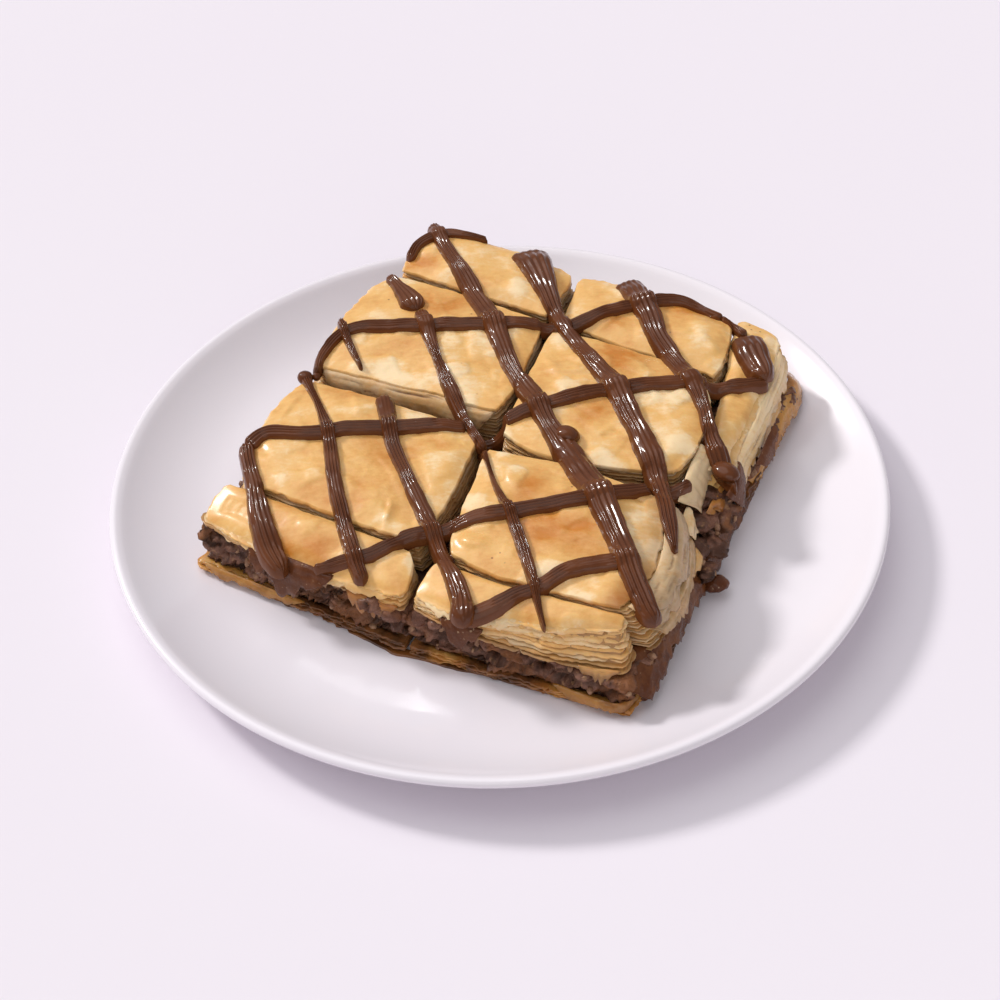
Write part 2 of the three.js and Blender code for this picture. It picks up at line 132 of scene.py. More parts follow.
# Spots of the tops that are baked browner or paler than the usual: x, y, radius and how much
TOASTED_SPOTS = [
    (16, -42, 13, 0.6), (29, 7, 10, 0.55), (38, 31, 9, 0.75), (-46, 21, 9, 0.4),
    (-33, -17, 14, 0.4), (-57, -19, 9, 0.4), (-60, -38, 6, 0.45), (-51, -41, 7, 0.5),
    (10, -22, 8, 0.6), (-15, 58, 10, 0.45), (-21, 78, 7, 0.4), (60, 56, 8, 0.4),
    (31, -68, 9, 0.45), (-4, -51, 6, 0.4), (-36, 61, 6, 0.3), (-20, 2, 8, 0.25),
    (36, 48, 6, 0.5), (74, 12, 16, 0.3), (-39, -29, 7, 0.45),
    (-42, -13.5, 7, -0.35), (-16.5, -10.5, 6, -0.3), (-30, 28, 8, -0.3), (63, 41, 8, -0.25),
    (49, -2, 8, -0.35), (6, -18, 6, -0.25), (39, -37, 6, -0.25),
]
USUAL_TOAST = 0.46
TOAST_CHANGE = 0.36
MOST_TOAST = 1.1

# Folds in the upper leaves: start, end, height and width, then over what length they fade at
# their ends and how many widths their two sides take
FOLDS = [
    ((-46, 27), (-40, 8), 0.7, 1.6), ((-34, -8), (-28, -25), 0.35, 1.4),
    ((-31, -26), (-33, -37), 0.7, 0.9), ((-30, 76), (-9, 64), 0.9, 1.3),
    ((-26, 74), (-12, 67), 0.5, 0.8), ((14, 27), (29, 23), 0.6, 1.5),
    ((22, 32), (29, 27), 0.5, 1.4), ((14, 35), (20, 22), 0.45, 1.3),
    ((30, -3), (46, -8), 0.5, 1.6), ((0, -13), (5, -27), 0.6, 2.0),
    ((-12, -43), (-4, -47), 0.8, 1.6), ((21, -44), (32, -49), 0.4, 1.0),
    ((20, -65), (32, -71), 0.6, 1.0), ((-64, 9), (-59, 22), 0.5, 1.4),
    ((-14, 28), (-2, 26), 0.3, 2.0), ((50, 44), (66, 38), 0.5, 1.6),
    ((62, 42), (68, 33), 0.5, 1.2), ((48, 8), (60, 4), 0.4, 1.8),
]
FOLD_TAPER = 5
SOFT_SIDE = 1.7
STEEP_SIDE = 0.45

# Drizzle strands as (x, y, width) along their middles: first those from left to right, then
# those from back to front, which lie over them
STRANDS_ACROSS = {
    "far corner": [(-26, 79, 3), (-24, 85, 4), (-20, 88.5, 4.4), (-13, 90, 4.2), (-6, 88.3, 2.8),
                   (-1, 86.6, 1.6)],
    "back": [(-54, 30, 2.6), (-52.5, 37, 3.4), (-47, 45, 4.5), (-40, 47, 5), (-28, 46, 5.2),
             (12, 46, 4.8), (26, 48, 4.6), (42, 54, 4.9), (58, 58, 5.4), (66, 54, 4),
             (71, 50, 3)],
    "middle": [(-73, -2, 5.5), (-68, 2, 5.5), (-57, 0.6, 5), (-38, 1.6, 5), (-12, 3, 5),
               (-1, 4, 4.6), (10, 8, 5), (19, 10.8, 5), (31, 14.4, 5.2), (44, 17, 5.4),
               (77, 22, 4.8), (82, 24, 5)],
    "front": [(-52, -46.5, 2), (-44, -46, 3.4), (-36, -45, 4.2), (-24, -40, 4.6), (10, -34, 5.2),
              (26, -31, 5.4), (50, -22.5, 4.4), (55, -20.5, 3)],
    "near corner": [(-10.6, -68, 5), (-3, -66.5, 5), (5.5, -62.8, 4.6), (10, -61.6, 4.4),
                    (18, -57.6, 5), (26, -55.6, 5.6), (36, -54.6, 5.4)],
}
STRANDS_ALONG = {
    "short back left": [(-47, 50, 3), (-44, 40, 2.4), (-40, 29, 1.2)],
    "left corner": [(-73, -2, 5), (-71.6, -10, 4.6), (-69.6, -18, 5.4), (-67.4, -29, 6.8),
                    (-65, -37, 7.4), (-62.5, -42.4, 6.6), (-60.5, -46, 4)],
    "left": [(-57.2, 29, 4.6), (-56, 25, 2.8), (-52.7, 15, 2.2), (-49, 0, 4), (-46, -22, 4.6),
             (-40, -47, 4.8), (-38, -53, 4)],
    "round start": [(-33, 16, 6), (-32, 8, 5.4), (-30, -5, 4.5), (-26, -18, 4.4),
                    (-20, -35, 5.2), (-15, -50, 4.8), (-11.4, -62, 6), (-10.8, -68, 7),
                    (-10.6, -71.5, 5.5)],
    "back left": [(-22.6, 53, 4.2), (-21, 47, 5.2), (-17, 30, 3), (-14, 20, 4.6), (-9, 6, 3.6),
                  (-4, -6, 3.4)],
    "short far left": [(-32.5, 72.5, 3.8), (-30, 68, 4), (-27, 62, 6.4), (-24.6, 57, 8.2),
                       (-23.4, 54, 7.6)],
    "thin middle": [(-5, -3, 3), (-3, -14, 1.4), (-1, -24, 1.6), (4, -40, 3.6), (8, -58, 3.2),
                    (10, -70, 1.5), (11, -74, 1)],
    "far corner": [(-18.4, 94.2, 4.8), (-17, 90.4, 4.8), (-12.8, 78.5, 5), (-7, 65, 6),
                   (-0.8, 49, 7), (2, 38, 6.6), (5.4, 26, 5.6), (11, 13, 7), (15, 1, 6),
                   (21, -12, 8.8), (28, -31.4, 8.8), (32, -46, 7.4), (35.4, -60, 7),
                   (38.6, -70, 6.6), (40.4, -74, 6)],
    "back": [(12.2, 81, 12.4), (13, 78, 12), (15, 70, 10), (18.5, 56, 6.4), (22, 45, 5.2),
             (29, 29, 5.6), (35, 17, 7.6), (40, 0, 7), (44, -14, 7.4), (46, -26, 5.6),
             (47, -40, 4.6), (47.5, -50, 1.8)],
    "back right": [(42.6, 67.6, 9), (44, 64, 8.8), (45.5, 58, 8.6), (48, 50, 8.4), (50, 40, 6.8),
                   (55, 28, 6.4), (59, 17, 6.4), (61, 8, 4.6), (62, 0, 5.4), (64, -8, 7.4),
                   (66, -14, 4), (68, -19, 1.6)],
    "behind the right patch": [(70.5, 50, 1.4), (74.5, 46, 2.4), (77, 42, 3.6)],
    "right patch": [(77, 41.5, 10.4), (77.7, 37, 10.8), (78.7, 32, 10.6), (80.2, 26.5, 9),
                    (81.4, 22.5, 6)],
}

# Strands whose first end is cut short, and over what length it is rounded
CUT_STARTS = {"far corner": 0.8, "back": 1.2, "back right": 1.0, "right patch": 1.2}

# Leaves that hang out of the sides of the tiles: over which span of the side, from which level of
# it, how far out and down they go and how deep they are torn. Toast, stain and crease are how
# brown they are, how soaked towards their end and how much shade is painted between their ridges.
LEAF_SIZES = dict(torn=0.5, ridge_height=0.9)
PLAIN_LEFT = dict(side="left", span=(0.03, 0.97), level=0.9, reach=1.8, drop=3, ridge_height=0.5,
                  stain=0.1, crease=0.4)
PLAIN_BACK = dict(side="back", span=(0.03, 0.97), level=0.8, reach=1.6, drop=4, ridge_height=0.6,
                  toast=0.2, stain=0.2, crease=0.5)
HANGING_LEAVES = [
    # The stain of this band is partly soaking and partly painted shade.
    dict(tile="back_left_front", side="front", span=(0.02, 0.99), level=0.93, reach=3.6, drop=7.5,
         torn=0.14, ridge_scale=560.0, ridge_stretch=0.07, toast=0.2, stain=0.66, stain_start=0.5,
         crease=1.0),
    # The stain of these drapes on the right side is partly soaking and partly painted shade.
    dict(tile="front_right_rear", side="right", span=(0.04, 0.96), level=0.96, reach=7, drop=5.5,
         torn=0.4, torn_scale=130.0, toast=0.05, stain=0.6, stain_start=0.55, crease=0.8),
    dict(tile="front_right_rear", side="right", span=(0.02, 0.98), level=0.74, reach=5, drop=6,
         toast=0.05, stain=0.62, crease=0.75),
    dict(tile="front_right_rear", side="right", span=(0.06, 0.94), level=0.4, reach=4, drop=6.5,
         torn=0.6, toast=0.2, stain=0.6, crease=0.7),
    dict(tile="back_right_side", side="right", span=(0.03, 0.97), level=0.97, reach=3.2, drop=5,
         torn=0.4, torn_scale=120.0, ridge_height=0.8, toast=0.05, stain=0.05, crease=0.5),
    dict(tile="back_right_side", side="right", span=(0.06, 0.98), level=0.7, reach=3.2, drop=5.5,
         toast=0.1, stain=0.25, crease=0.65),
    dict(tile="back_right_side", side="right", span=(0.03, 0.92), level=0.4, reach=2.8, drop=6,
         torn=0.65, toast=0.35, stain=0.4, crease=0.7),
    dict(tile="back_right_side", side="front", span=(0.05, 0.95), level=0.9, reach=3, drop=6,
         ridge_height=0.8, toast=0.0, stain=0.45, crease=0.6),
    dict(tile="front_left_edge", side="front", span=(0.04, 0.42), level=0.95, reach=1.4, drop=2.4,
         torn=0.6, torn_scale=330.0, ridge_height=0.35, toast=0.15, stain=0.1, crease=0.4),
    dict(tile="front_left_edge", side="front", span=(0.4, 0.97), level=0.9, reach=1.6, drop=3,
         torn=0.6, torn_scale=330.0, ridge_height=0.4, toast=0.2, stain=0.2, crease=0.4),
    dict(tile="front_left_edge", side="front", span=(0.74, 0.99), level=0.25, reach=2.2, drop=7.5,
         torn=0.6, torn_scale=300.0, ridge_height=0.8, ridge_stretch=0.8, toast=0.95, stain=0.7,
         crease=0.8),
    dict(tile="front_right_edge", side="front", span=(0.04, 0.5), level=0.9, reach=1.6, drop=2.6,
         torn=0.6, torn_scale=330.0, ridge_height=0.4, toast=0.1, stain=0.1, crease=0.4),
    dict(tile="front_right_edge", side="front", span=(0.8, 0.99), level=0.1, reach=2.4, drop=5,
         torn=0.7, torn_scale=380.0, ridge_height=0.7, ridge_stretch=0.8, toast=0.6, stain=0.8,
         crease=0.7),
    *(dict(PLAIN_LEFT, tile=tile, toast=toast) for tile, toast in (
        ("front_left_rear", 0.1), ("back_left_front", 0.1), ("back_left_rear", 0.2))),
    *(dict(PLAIN_BACK, tile=tile) for tile in ("back_left_rear", "back_right_rear")),
]

# Scraps in the gap and at the near right, then the flaps of the base and the chocolate that has
# run down: each hangs to the right of its path of (x, y, z) points
SCRAPS = {
    "curled leaf in the right gap": dict(
        path=[(50.5, -26, 27), (54, -16, 29), (58.7, -5, 29.5)], reach=6, drop=10, torn=0.35,
        torn_scale=110.0, ridge_scale=260.0, ridge_stretch=1.6, toast=0.0, stain=0.4, crease=0.3),
    "scrap behind the curled leaf": dict(
        path=[(60, -12, 26), (64.5, -3, 26.5)], reach=3, drop=9, torn_scale=200.0,
        ridge_height=0.8, ridge_scale=260.0, ridge_stretch=1.2, toast=0.1, stain=0.3, crease=0.5),
    "amber scrap in the right gap": dict(
        path=[(59, -24, 20.5), (65, -12, 21.5)], reach=3.4, drop=9, torn=0.6, torn_scale=260.0,
        ridge_height=1.1, ridge_scale=260.0, ridge_stretch=1.0, toast=0.9, stain=0.6, crease=0.7),
    "upper flake": dict(
        path=[(49.5, -36, 25), (53, -26, 25)], reach=5, drop=8, torn=0.55, torn_scale=230.0,
        ridge_scale=300.0, ridge_stretch=0.6, toast=0.1, stain=0.2, crease=0.5),
    "lower flake": dict(
        path=[(50.5, -47, 19.5), (54.5, -37, 19.5)], reach=4, drop=7, torn_scale=180.0,
        ridge_scale=300.0, ridge_stretch=0.6, toast=0.3, stain=0.3, crease=0.6),
    "short flake": dict(
        path=[(47, -53, 18.5), (51, -44, 18.5)], reach=4, drop=6, torn=0.6, torn_scale=230.0,
        ridge_scale=300.0, ridge_stretch=0.6, toast=0.2, stain=0.4, crease=0.6),
}
BASE_FLAPS = {
    "right corner": dict(
        path=[(70, -1, 13), (76.5, 11, 14.5), (82, 21, 16.5), (87, 30, 17), (90.5, 38, 16.5),
              (89, 45, 14)],
        reach=5.5, drop=9.5, torn=0.4, torn_scale=130.0, ridge_height=1.0, ridge_scale=170.0,
        ridge_stretch=0.9, stain=0.06, crease=0.3),
    "near corner": dict(
        path=[(13, -76.7, 9.4), (22, -81.5, 9.4), (30.5, -85, 9.6), (33, -83.2, 10),
              (36, -76.6, 10.4)],
        reach=1.6, drop=3, torn_scale=260.0, ridge_height=0.6, ridge_scale=300.0,
        ridge_stretch=0.7, stain=0.5, crease=0.5),
    "left corner": dict(
        path=[(-86, -25.5, 9), (-80, -29.2, 9), (-68, -36.2, 9), (-56, -42.8, 8.8)],
        reach=1.4, drop=3, torn_scale=200.0, ridge_height=0.7, ridge_scale=300.0,
        ridge_stretch=0.5, stain=0.5, crease=0.5),
}
CHOCOLATE_FILMS = {
    "left smear": dict(
        path=[(-70.4, -33.2, 23.8), (-61.4, -39.2, 24.6), (-53.4, -44.2, 25),
              (-46.4, -48.2, 24.6)],
        reach=4, drop=13, torn_scale=110.0, ridge_scale=200.0, ridge_stretch=0.6, stain=0.3),
    "foot of the round start": dict(
        path=[(-17, -64, 23.4), (-11.4, -66.8, 24), (-5.5, -69.4, 23.6)],
        reach=2.6, drop=12, torn_scale=200.0, ridge_height=0.7, ridge_scale=420.0,
        ridge_stretch=1.2, stain=0.2),
    "right coating": dict(
        path=[(29.5, -83, 14.5), (35, -71, 18), (41, -58, 19), (46, -47, 18.5), (52, -34, 16),
              (58, -20, 14.5), (65, -5, 13.5), (71, 8, 13)],
        reach=9, drop=11.5, torn=0.3, torn_scale=130.0, ridge_height=1.0, ridge_scale=260.0,
        ridge_stretch=0.7, stain=1.0),
    "right corner smear": dict(
        path=[(76, -2, 18), (80, 7, 19.5), (83, 13, 20)],
        reach=3, drop=7, torn=0.6, torn_scale=260.0, ridge_height=0.5, ridge_scale=300.0,
        ridge_stretch=1.0, stain=0.0),
    "right strand's smear": dict(
        path=[(65, -20, 23), (68.5, -14, 24.5), (69.5, -8, 25)],
        reach=3.2, drop=13, torn_scale=260.0, ridge_height=0.4, ridge_scale=300.0,
        ridge_stretch=1.0, stain=0.3),
}

# Blobs and lumps: the place of each and its radii
CHOCOLATE_BLOBS = [
    ((-57.2, 28.6, 31.5), (2.4, 2.4, 2.2)), ((-54, 29.6, 31), (1.3, 1.3, 1.4)),
    ((20.4, -3.6, 34), (3.7, 3.7, 2.5)),
    ((65.5, -13, 26), (3.6, 4.6, 2.4)),
]
FILM_KNOBS = [
    ((60.4, -40.6, 8.4), (3.2, 4.2, 2.4)), ((40, -71.6, 8), (2.6, 3.6, 2)),
    ((36.2, -79, 7.7), (2.4, 3.2, 1.9)),
]
FILLING_LUMPS = [
    ((60, -16, 20), (4.4, 5.2, 3)), ((65, -21, 15), (3.8, 4.6, 2.4)),
    ((57, -25.5, 18), (4.6, 4.2, 2.6)), ((61.5, -31, 13.5), (4, 4.8, 2)),
    ((54, -35, 17), (4.2, 4.4, 2.4)), ((50, -28, 23), (2.6, 4, 1.6)),
    ((57, -41, 13), (3.8, 4.6, 2)), ((68, -9, 15), (3, 4.6, 2)),
    ((66, -14.5, 18.5), (3, 3.6, 2.2)),
]

# Lines along which small lumps of filling bulge out
FILLING_RIDGES = [
    [(-80, -25.6, 18.4), (-72, -30.4, 19.4), (-58, -39.6, 19.4), (-46, -47.2, 19.4),
     (-31, -56, 19)],
    [(-22, -58, 19.6), (-14.6, -61.6, 19.8), (-6.6, -64.6, 18.8), (4, -68.4, 17.2)],
]
RIDGE_STEP = 2.4

# The run of syrup on the plate, as x, y and width
SYRUP_RUN = [(-44, -50.6, 1.2), (-37, -54.8, 2), (-29.5, -59.2, 3.4), (-23, -61.8, 2.4),
             (-14, -65.6, 2.4), (-5, -68.8, 1.8), (3, -72.2, 2.2), (12, -76.2, 1.6),
             (18, -79, 1.2)]

# Where the base stays amber: x, y and radius
AMBER_PLACES = [(-86, -27, 29), (33, -86, 20), (91, 30, 26), (-22, 94, 20),
                (-15, -67, 9), (14, -80, 12)]

# Strands: how thick a narrow one is, and how much thicker for every millimetre of width
STRAND_THINNEST = 1.05
STRAND_THICKER = 0.17
STRAND_STEP = 0.7

# How they lie: over what length they even out and bridge gaps, how steeply they fall past the
# end of what carries them, how deep they sink in and how far they stand out at the least, and
# how far their edges may hang below their middle or lie over it
STRAND_SMOOTHING = 2.2
STRAND_BRIDGE = 9
STRAND_FALL = 2.4
STRAND_SINK = 0.4
STRAND_LEAST = 0.12
EDGE_DROP = 1.6
EDGE_RISE = 1.2
KERNEL_HALF = 12

# The height from which the ground under a strand is sought, and what stands for no ground
RAY_START = 90
NO_GROUND = -99

# A tile's uppermost leaf and its form
SHEET = 0.26
GRID_STEP = 0.62
FRINGE_ROWS = 5
CUT_LIP = 0.4
EDGE_WOBBLE = 0.6
CORNER_ROUNDING = 0.04
TILE_STEEPNESS = 1.2

# The pile of leaves under it, and the core inside the pile
RING_STEP = 0.8
RING_INSETS = (3.0, 1.2, 0.4, 0.0)
CORE_INSET = 0.9
LEAF_SPACING = 1.05

# Hanging leaves: the step along their path, and over what length they grow at both its ends
LEAF_STEP = 0.7
LEAF_TAPER = 5

# The size of the filling's faces
FILLING_VOXEL = 0.85


# Helpers for noise and for heights

NOISE_CELLS = 64


def soft_noise(x, y, size, seed):
    """Smooth values from -1 to 1 over the plan, one swell for each size millimetres."""
    table = np.random.default_rng(seed).uniform(-1, 1, (NOISE_CELLS, NOISE_CELLS))
    turn = 0.7 * seed
    gx = (x * math.cos(turn) - y * math.sin(turn)) / size
    gy = (x * math.sin(turn) + y * math.cos(turn)) / size
    ix, iy = np.floor(gx).astype(int), np.floor(gy).astype(int)
    fx, fy = (f ** 3 * (f * (f * 6 - 15) + 10) for f in (gx - ix, gy - iy))

    def corner(dx, dy):
        return table[(ix + dx) % NOISE_CELLS, (iy + dy) % NOISE_CELLS]

    near = corner(0, 0) * (1 - fx) + corner(1, 0) * fx
    far = corner(0, 1) * (1 - fx) + corner(1, 1) * fx
    return near * (1 - fy) + far * fy


def ridged(x, y, size, seed):
    """Values from 0 to 1 with sharp crests, one for each size millimetres."""
    return 1 - np.abs(soft_noise(x, y, size, seed))


def layered_noise(x, y, size, seed, layers=3):
    """soft_noise in several sizes, each half as large and half as strong."""
    total, weight = 0, 0
    for layer in range(layers):
        strength = 0.5 ** layer
        total = total + strength * soft_noise(x, y, size * strength, seed + 7 * layer)
        weight += strength
    return total / weight


def steps(values, low, high):
    """Values that rise softly from 0 at low to 1 at high."""
    share = np.clip((values - low) / (high - low), 0, 1)
    return share * share * (3 - 2 * share)


def wrinkles(x, y, seed):
    """Fine straight creases that lie in bundles, from 0 to 1."""
    turn = 0.9 * seed
    along = x * math.cos(turn) + y * math.sin(turn)
    aside = y * math.cos(turn) - x * math.sin(turn)
    crease = ridged(along / 5, aside, 2.6, seed) ** 7
    return crease * steps(soft_noise(x, y, 13, seed + 1), 0.15, 0.45)


def level_height(level, x, y):
    """The height of a layer's top, as it slopes over the plan."""
    return level[0] + level[1] * x + level[2] * y


def plate_face(radius):
    """The height of the plate's upper face: flat in the middle, then rising to the lip."""
    outside = np.maximum(0, radius - FLOOR_RADIUS)
    reach = PLATE_RADIUS - LIP_WIDTH - FLOOR_RADIUS
    return FLOOR_TOP + (FACE_END - FLOOR_TOP) * (outside / reach) ** FACE_CURVE


# Helpers for lines

def unit(vectors, least=0.0):
    """The same directions with a length of 1. least keeps one without a length from failing."""
    return vectors / (np.linalg.norm(vectors, axis=-1, keepdims=True) + least)


def left_of(line):
    """Directions to the left of a line at each of its points, in plan."""
    tangent = np.gradient(line[:, :2], axis=0)
    return unit(np.column_stack([-tangent[:, 1], tangent[:, 0]]))


def run_lengths(line):
    """How far along a line each of its points lies."""
    return np.concatenate([[0], np.cumsum(np.linalg.norm(np.diff(line, axis=0), axis=1))])


def points_at(line, reach, where):
    """Points of a line at these distances along it; reach is that of each of its own."""
    return np.column_stack([np.interp(where, reach, axis) for axis in line.T])


def polyline(points, step):
    """Points at even steps along a line of points, without its last one."""
    points = np.array(points, float)
    reach = run_lengths(points)
    count = max(2, round(reach[-1] / step))
    return points_at(points, reach, np.linspace(0, reach[-1], count, endpoint=False))


def mixed(t, start, end, first, last):
    """What lies between first at start and last at end."""
    return (end - t) / (end - start) * first + (t - start) / (end - start) * last


def through(points, step):
    """A smooth line through (x, y, width) or (x, y, z) points, at even steps in plan."""
    points = np.array(points, float)
    padded = np.vstack([2 * points[0] - points[1], points, 2 * points[-1] - points[-2]])
    pieces = []
    for i in range(len(points) - 1):
        p0, p1, p2, p3 = padded[i:i + 4]
        knots = [0.0]
        for first, second in ((p0, p1), (p1, p2), (p2, p3)):
            knots.append(knots[-1] + max(np.linalg.norm(second[:2] - first[:2]), 1e-6) ** 0.5)
        k0, k1, k2, k3 = knots
        t = np.linspace(k1, k2, 40)[:, None]
        a1 = mixed(t, k0, k1, p0, p1)
        a2 = mixed(t, k1, k2, p1, p2)
        a3 = mixed(t, k2, k3, p2, p3)
        pieces.append(mixed(t, k1, k2, mixed(t, k0, k2, a1, a2), mixed(t, k1, k3, a2, a3)))
    line = np.concatenate(pieces)
    reach = run_lengths(line[:, :2])
    count = max(4, round(reach[-1] / step))
    return points_at(line, reach, np.linspace(0, reach[-1], count + 1))


# Helpers for meshes

def linked(name, data):
    """A new object of the scene."""
    made = bpy.data.objects.new(name, data)
    bpy.context.scene.collection.objects.link(made)
    return made


def keep_values(mesh, title, values):
    """Keeps a value or a vector for each point of a mesh under a name."""
    values = np.asarray(values, np.float32)
    kind, key = ("FLOAT_VECTOR", "vector") if values.ndim == 2 else ("FLOAT", "value")
    made = mesh.attributes.get(title) or mesh.attributes.new(title, kind, "POINT")
    made.data.foreach_set(key, values.ravel())


def kept_values(mesh, title):
    """The values that keep_values or a node tree has kept."""
    values = np.zeros(len(mesh.vertices), np.float32)
    mesh.attributes[title].data.foreach_get("value", values)
    return values


def mesh_object(name, points, faces, attributes, edges=()):
    """A smooth-shaded object from points in millimetres, with point attributes."""
    mesh = bpy.data.meshes.new(name)
    mesh.from_pydata((np.asarray(points) * MM).tolist(), edges, faces)
    for title, values in attributes.items():
        keep_values(mesh, title, values)
    mesh.polygons.foreach_set("use_smooth", [True] * len(mesh.polygons))
    return linked(name, mesh)


def line_object(name, points, attributes):
    """A line of points, for a node tree that follows it."""
    return mesh_object(name, points, [], attributes, [(i, i + 1) for i in range(len(points) - 1)])


def joined(name, objects):
    """One object from several, with the materials and attributes of all."""
    with bpy.context.temp_override(
            active_object=objects[0], object=objects[0], selected_objects=objects,
            selected_editable_objects=objects):
        bpy.ops.object.join()
    objects[0].name = name
    objects[0].data.name = name
    return objects[0]


def discarded(*objects):
    """Takes objects that were only helps out of the file."""
    for item in objects:
        mesh = item.data
        bpy.data.objects.remove(item)
        bpy.data.meshes.remove(mesh)


def grown(obj, tree, **values):
    """obj with the result of a geometry node tree as its plain mesh."""
    modifier = obj.modifiers.new(tree.name, "NODES")
    modifier.node_group = tree
    for item in tree.interface.items_tree:
        key = item.name.replace(" ", "_").lower()
        if item.in_out == "INPUT" and key in values:
            modifier[item.identifier] = values.pop(key)
    if values:
        raise ValueError(f"{tree.name} has no input {sorted(values)}")
    graph = bpy.context.evaluated_depsgraph_get()
    made = bpy.data.meshes.new_from_object(
        obj.evaluated_get(graph), preserve_all_data_layers=True, depsgraph=graph)
    obj.modifiers.remove(modifier)
    old, obj.data = obj.data, made
    made.name = obj.name
    bpy.data.meshes.remove(old)
    return obj


def closed_sheet(name, grid, thickness, attributes):
    """A thin closed sheet under a grid of points, shape (rows, columns, 3)."""
    rows, columns = grid.shape[:2]
    normals = unit(np.cross(np.gradient(grid, axis=1), np.gradient(grid, axis=0)), 1e-9)
    if normals[rows // 2, columns // 2, 2] < 0:
        normals = -normals
    points = np.concatenate([grid.reshape(-1, 3), (grid - normals * thickness).reshape(-1, 3)])
    count = rows * columns
    index = np.arange(count).reshape(rows, columns)
    quads = np.stack([index[:-1, :-1], index[:-1, 1:], index[1:, 1:], index[1:, :-1]], -1)
    quads = quads.reshape(-1, 4)
    edge = np.concatenate([index[0, :-1], index[:-1, -1], index[-1, :0:-1], index[:0:-1, 0]])
    after = np.roll(edge, -1)
    walls = np.stack([edge, edge + count, after + count, after], -1)
    faces = np.concatenate([quads, quads[:, ::-1] + count, walls])
    doubled = {key: np.concatenate([value.reshape(count, -1)] * 2).squeeze()
               for key, value in attributes.items()}
    made = mesh_object(name, points, faces.tolist(), doubled)
    outward_faces(made)
    return made


def outward_faces(obj):
    """Turns the faces of a closed mesh outwards."""
    shape = bmesh.new()
    shape.from_mesh(obj.data)
    bmesh.ops.recalc_face_normals(shape, faces=shape.faces)
    shape.to_mesh(obj.data)
    shape.free()


def bands(loops, count):
    """The corners of each face between loops of points: two on one loop, two on the next."""
    for low in range(0, (loops - 1) * count, count):
        for i in range(count):
            j = (i + 1) % count
            yield low + i, low + j, low + count + j, low + count + i


def closed_bands(loops, count, first, last):
    """Faces over loops of points, closed by a fan to the points first and last at the ends."""
    faces = list(bands(loops, count))
    end = (loops - 1) * count
    for i in range(count):
        j = (i + 1) % count
        faces += [(first, j, i), (last, end + i, end + j)]
    return faces


# Node trees are built by this maker, in geometry and in materials alike

SOCKETS = {
    "geometry": "NodeSocketGeometry", "value": "NodeSocketFloat", "count": "NodeSocketInt",
    "vector": "NodeSocketVector", "colour": "NodeSocketColor", "material": "NodeSocketMaterial",
    "object": "NodeSocketObject",
}


class Maker:
    """Adds nodes to a tree. Most calls give back the first live output of their node."""

    def __init__(self, tree):
        self.tree = tree

    def add(self, kind, inputs=(), **settings):
        """A node with its settings made and its inputs fed, by their names or in their order."""
        node = self.tree.nodes.new(kind)
        for key, value in settings.items():
            setattr(node, key, value)
        live = [s for s in node.inputs if s.enabled]
        pairs = inputs.items() if isinstance(inputs, dict) else enumerate(inputs)
        for key, value in pairs:
            socket = live[key] if isinstance(key, int) else next(s for s in live if s.name == key)
            self.feed(socket, value)
        return node

    def feed(self, socket, value):
        """Links another node's output to an input, or sets the input's own value."""
        if isinstance(value, bpy.types.NodeSocket):
            self.tree.links.new(value, socket)
        elif value is not None:
            socket.default_value = value

    def out(self, kind, inputs=(), output=None, **settings):
        node = self.add(kind, inputs, **settings)
        live = [s for s in node.outputs if s.enabled]
        return live[0] if output is None else next(s for s in live if s.name == output)

    def math(self, operation, *inputs):
        return self.out("ShaderNodeMath", inputs, operation=operation)

    def total(self, first, *others):
        for other in others:
            first = self.math("ADD", first, other)
        return first

    def product(self, first, *others):
        for other in others:
            first = self.math("MULTIPLY", first, other)
        return first

    def centred(self, noise, strength):
        """A noise from 0 to 1 as a change to both sides of 0."""
        return self.product(self.math("SUBTRACT", noise, 0.5), strength)

    def vector(self, operation, *inputs):
        return self.out("ShaderNodeVectorMath", inputs, operation=operation)

    def stretched(self, vector, *factors):
        return self.vector("MULTIPLY", vector, factors)

    def scaled(self, vector, amount):
        return self.out("ShaderNodeVectorMath", {"Vector": vector, "Scale": amount},
                        operation="SCALE")

    def mix(self, factor, a, b, kind="FLOAT"):
        return self.out("ShaderNodeMix", (factor, a, b), data_type=kind)

    def noise(self, place, scale, detail=2.0, roughness=0.5, output=None):
        inputs = {"Vector": place, "Scale": scale, "Detail": detail, "Roughness": roughness}
        return self.out("ShaderNodeTexNoise", inputs, output=output)

    def cells(self, place, scale):
        """How far each place is from the nearest of many scattered points."""
        return self.out("ShaderNodeTexVoronoi", {"Vector": place, "Scale": scale},
                        output="Distance")

    def between(self, value, low, high, to_low=0.0, to_high=1.0, smooth=True):
        """A value from low to high carried over to another range, and held at its ends."""
        kind = "SMOOTHSTEP" if smooth else "LINEAR"
        inputs = {"Value": value, "From Min": low, "From Max": high, "To Min": to_low,
                  "To Max": to_high}
        return self.out("ShaderNodeMapRange", inputs, interpolation_type=kind)

    def combined(self, x=0.0, y=0.0, z=0.0):
        return self.out("ShaderNodeCombineXYZ", (x, y, z))

    def part(self, vector, axis):
        return self.out("ShaderNodeSeparateXYZ", (vector,), output=axis)

    def at_height(self, place, height):
        return self.combined(self.part(place, "X"), self.part(place, "Y"), height)


def new_tree(kind, name, inputs, outputs, maker=Maker):
    """A maker on a node tree with named inputs and outputs, and its input and output nodes."""
    tree = bpy.data.node_groups.new(name, kind)
    for title, (socket, start) in inputs.items():
        made = tree.interface.new_socket(title, in_out="INPUT", socket_type=SOCKETS[socket])
        if start is not None:
            made.default_value = start
    for title, socket in outputs.items():
        tree.interface.new_socket(title, in_out="OUTPUT", socket_type=SOCKETS[socket])
    source = tree.nodes.new("NodeGroupInput").outputs
    goal = tree.nodes.new("NodeGroupOutput").inputs
    return maker(tree), source, goal


# Shared shader effects

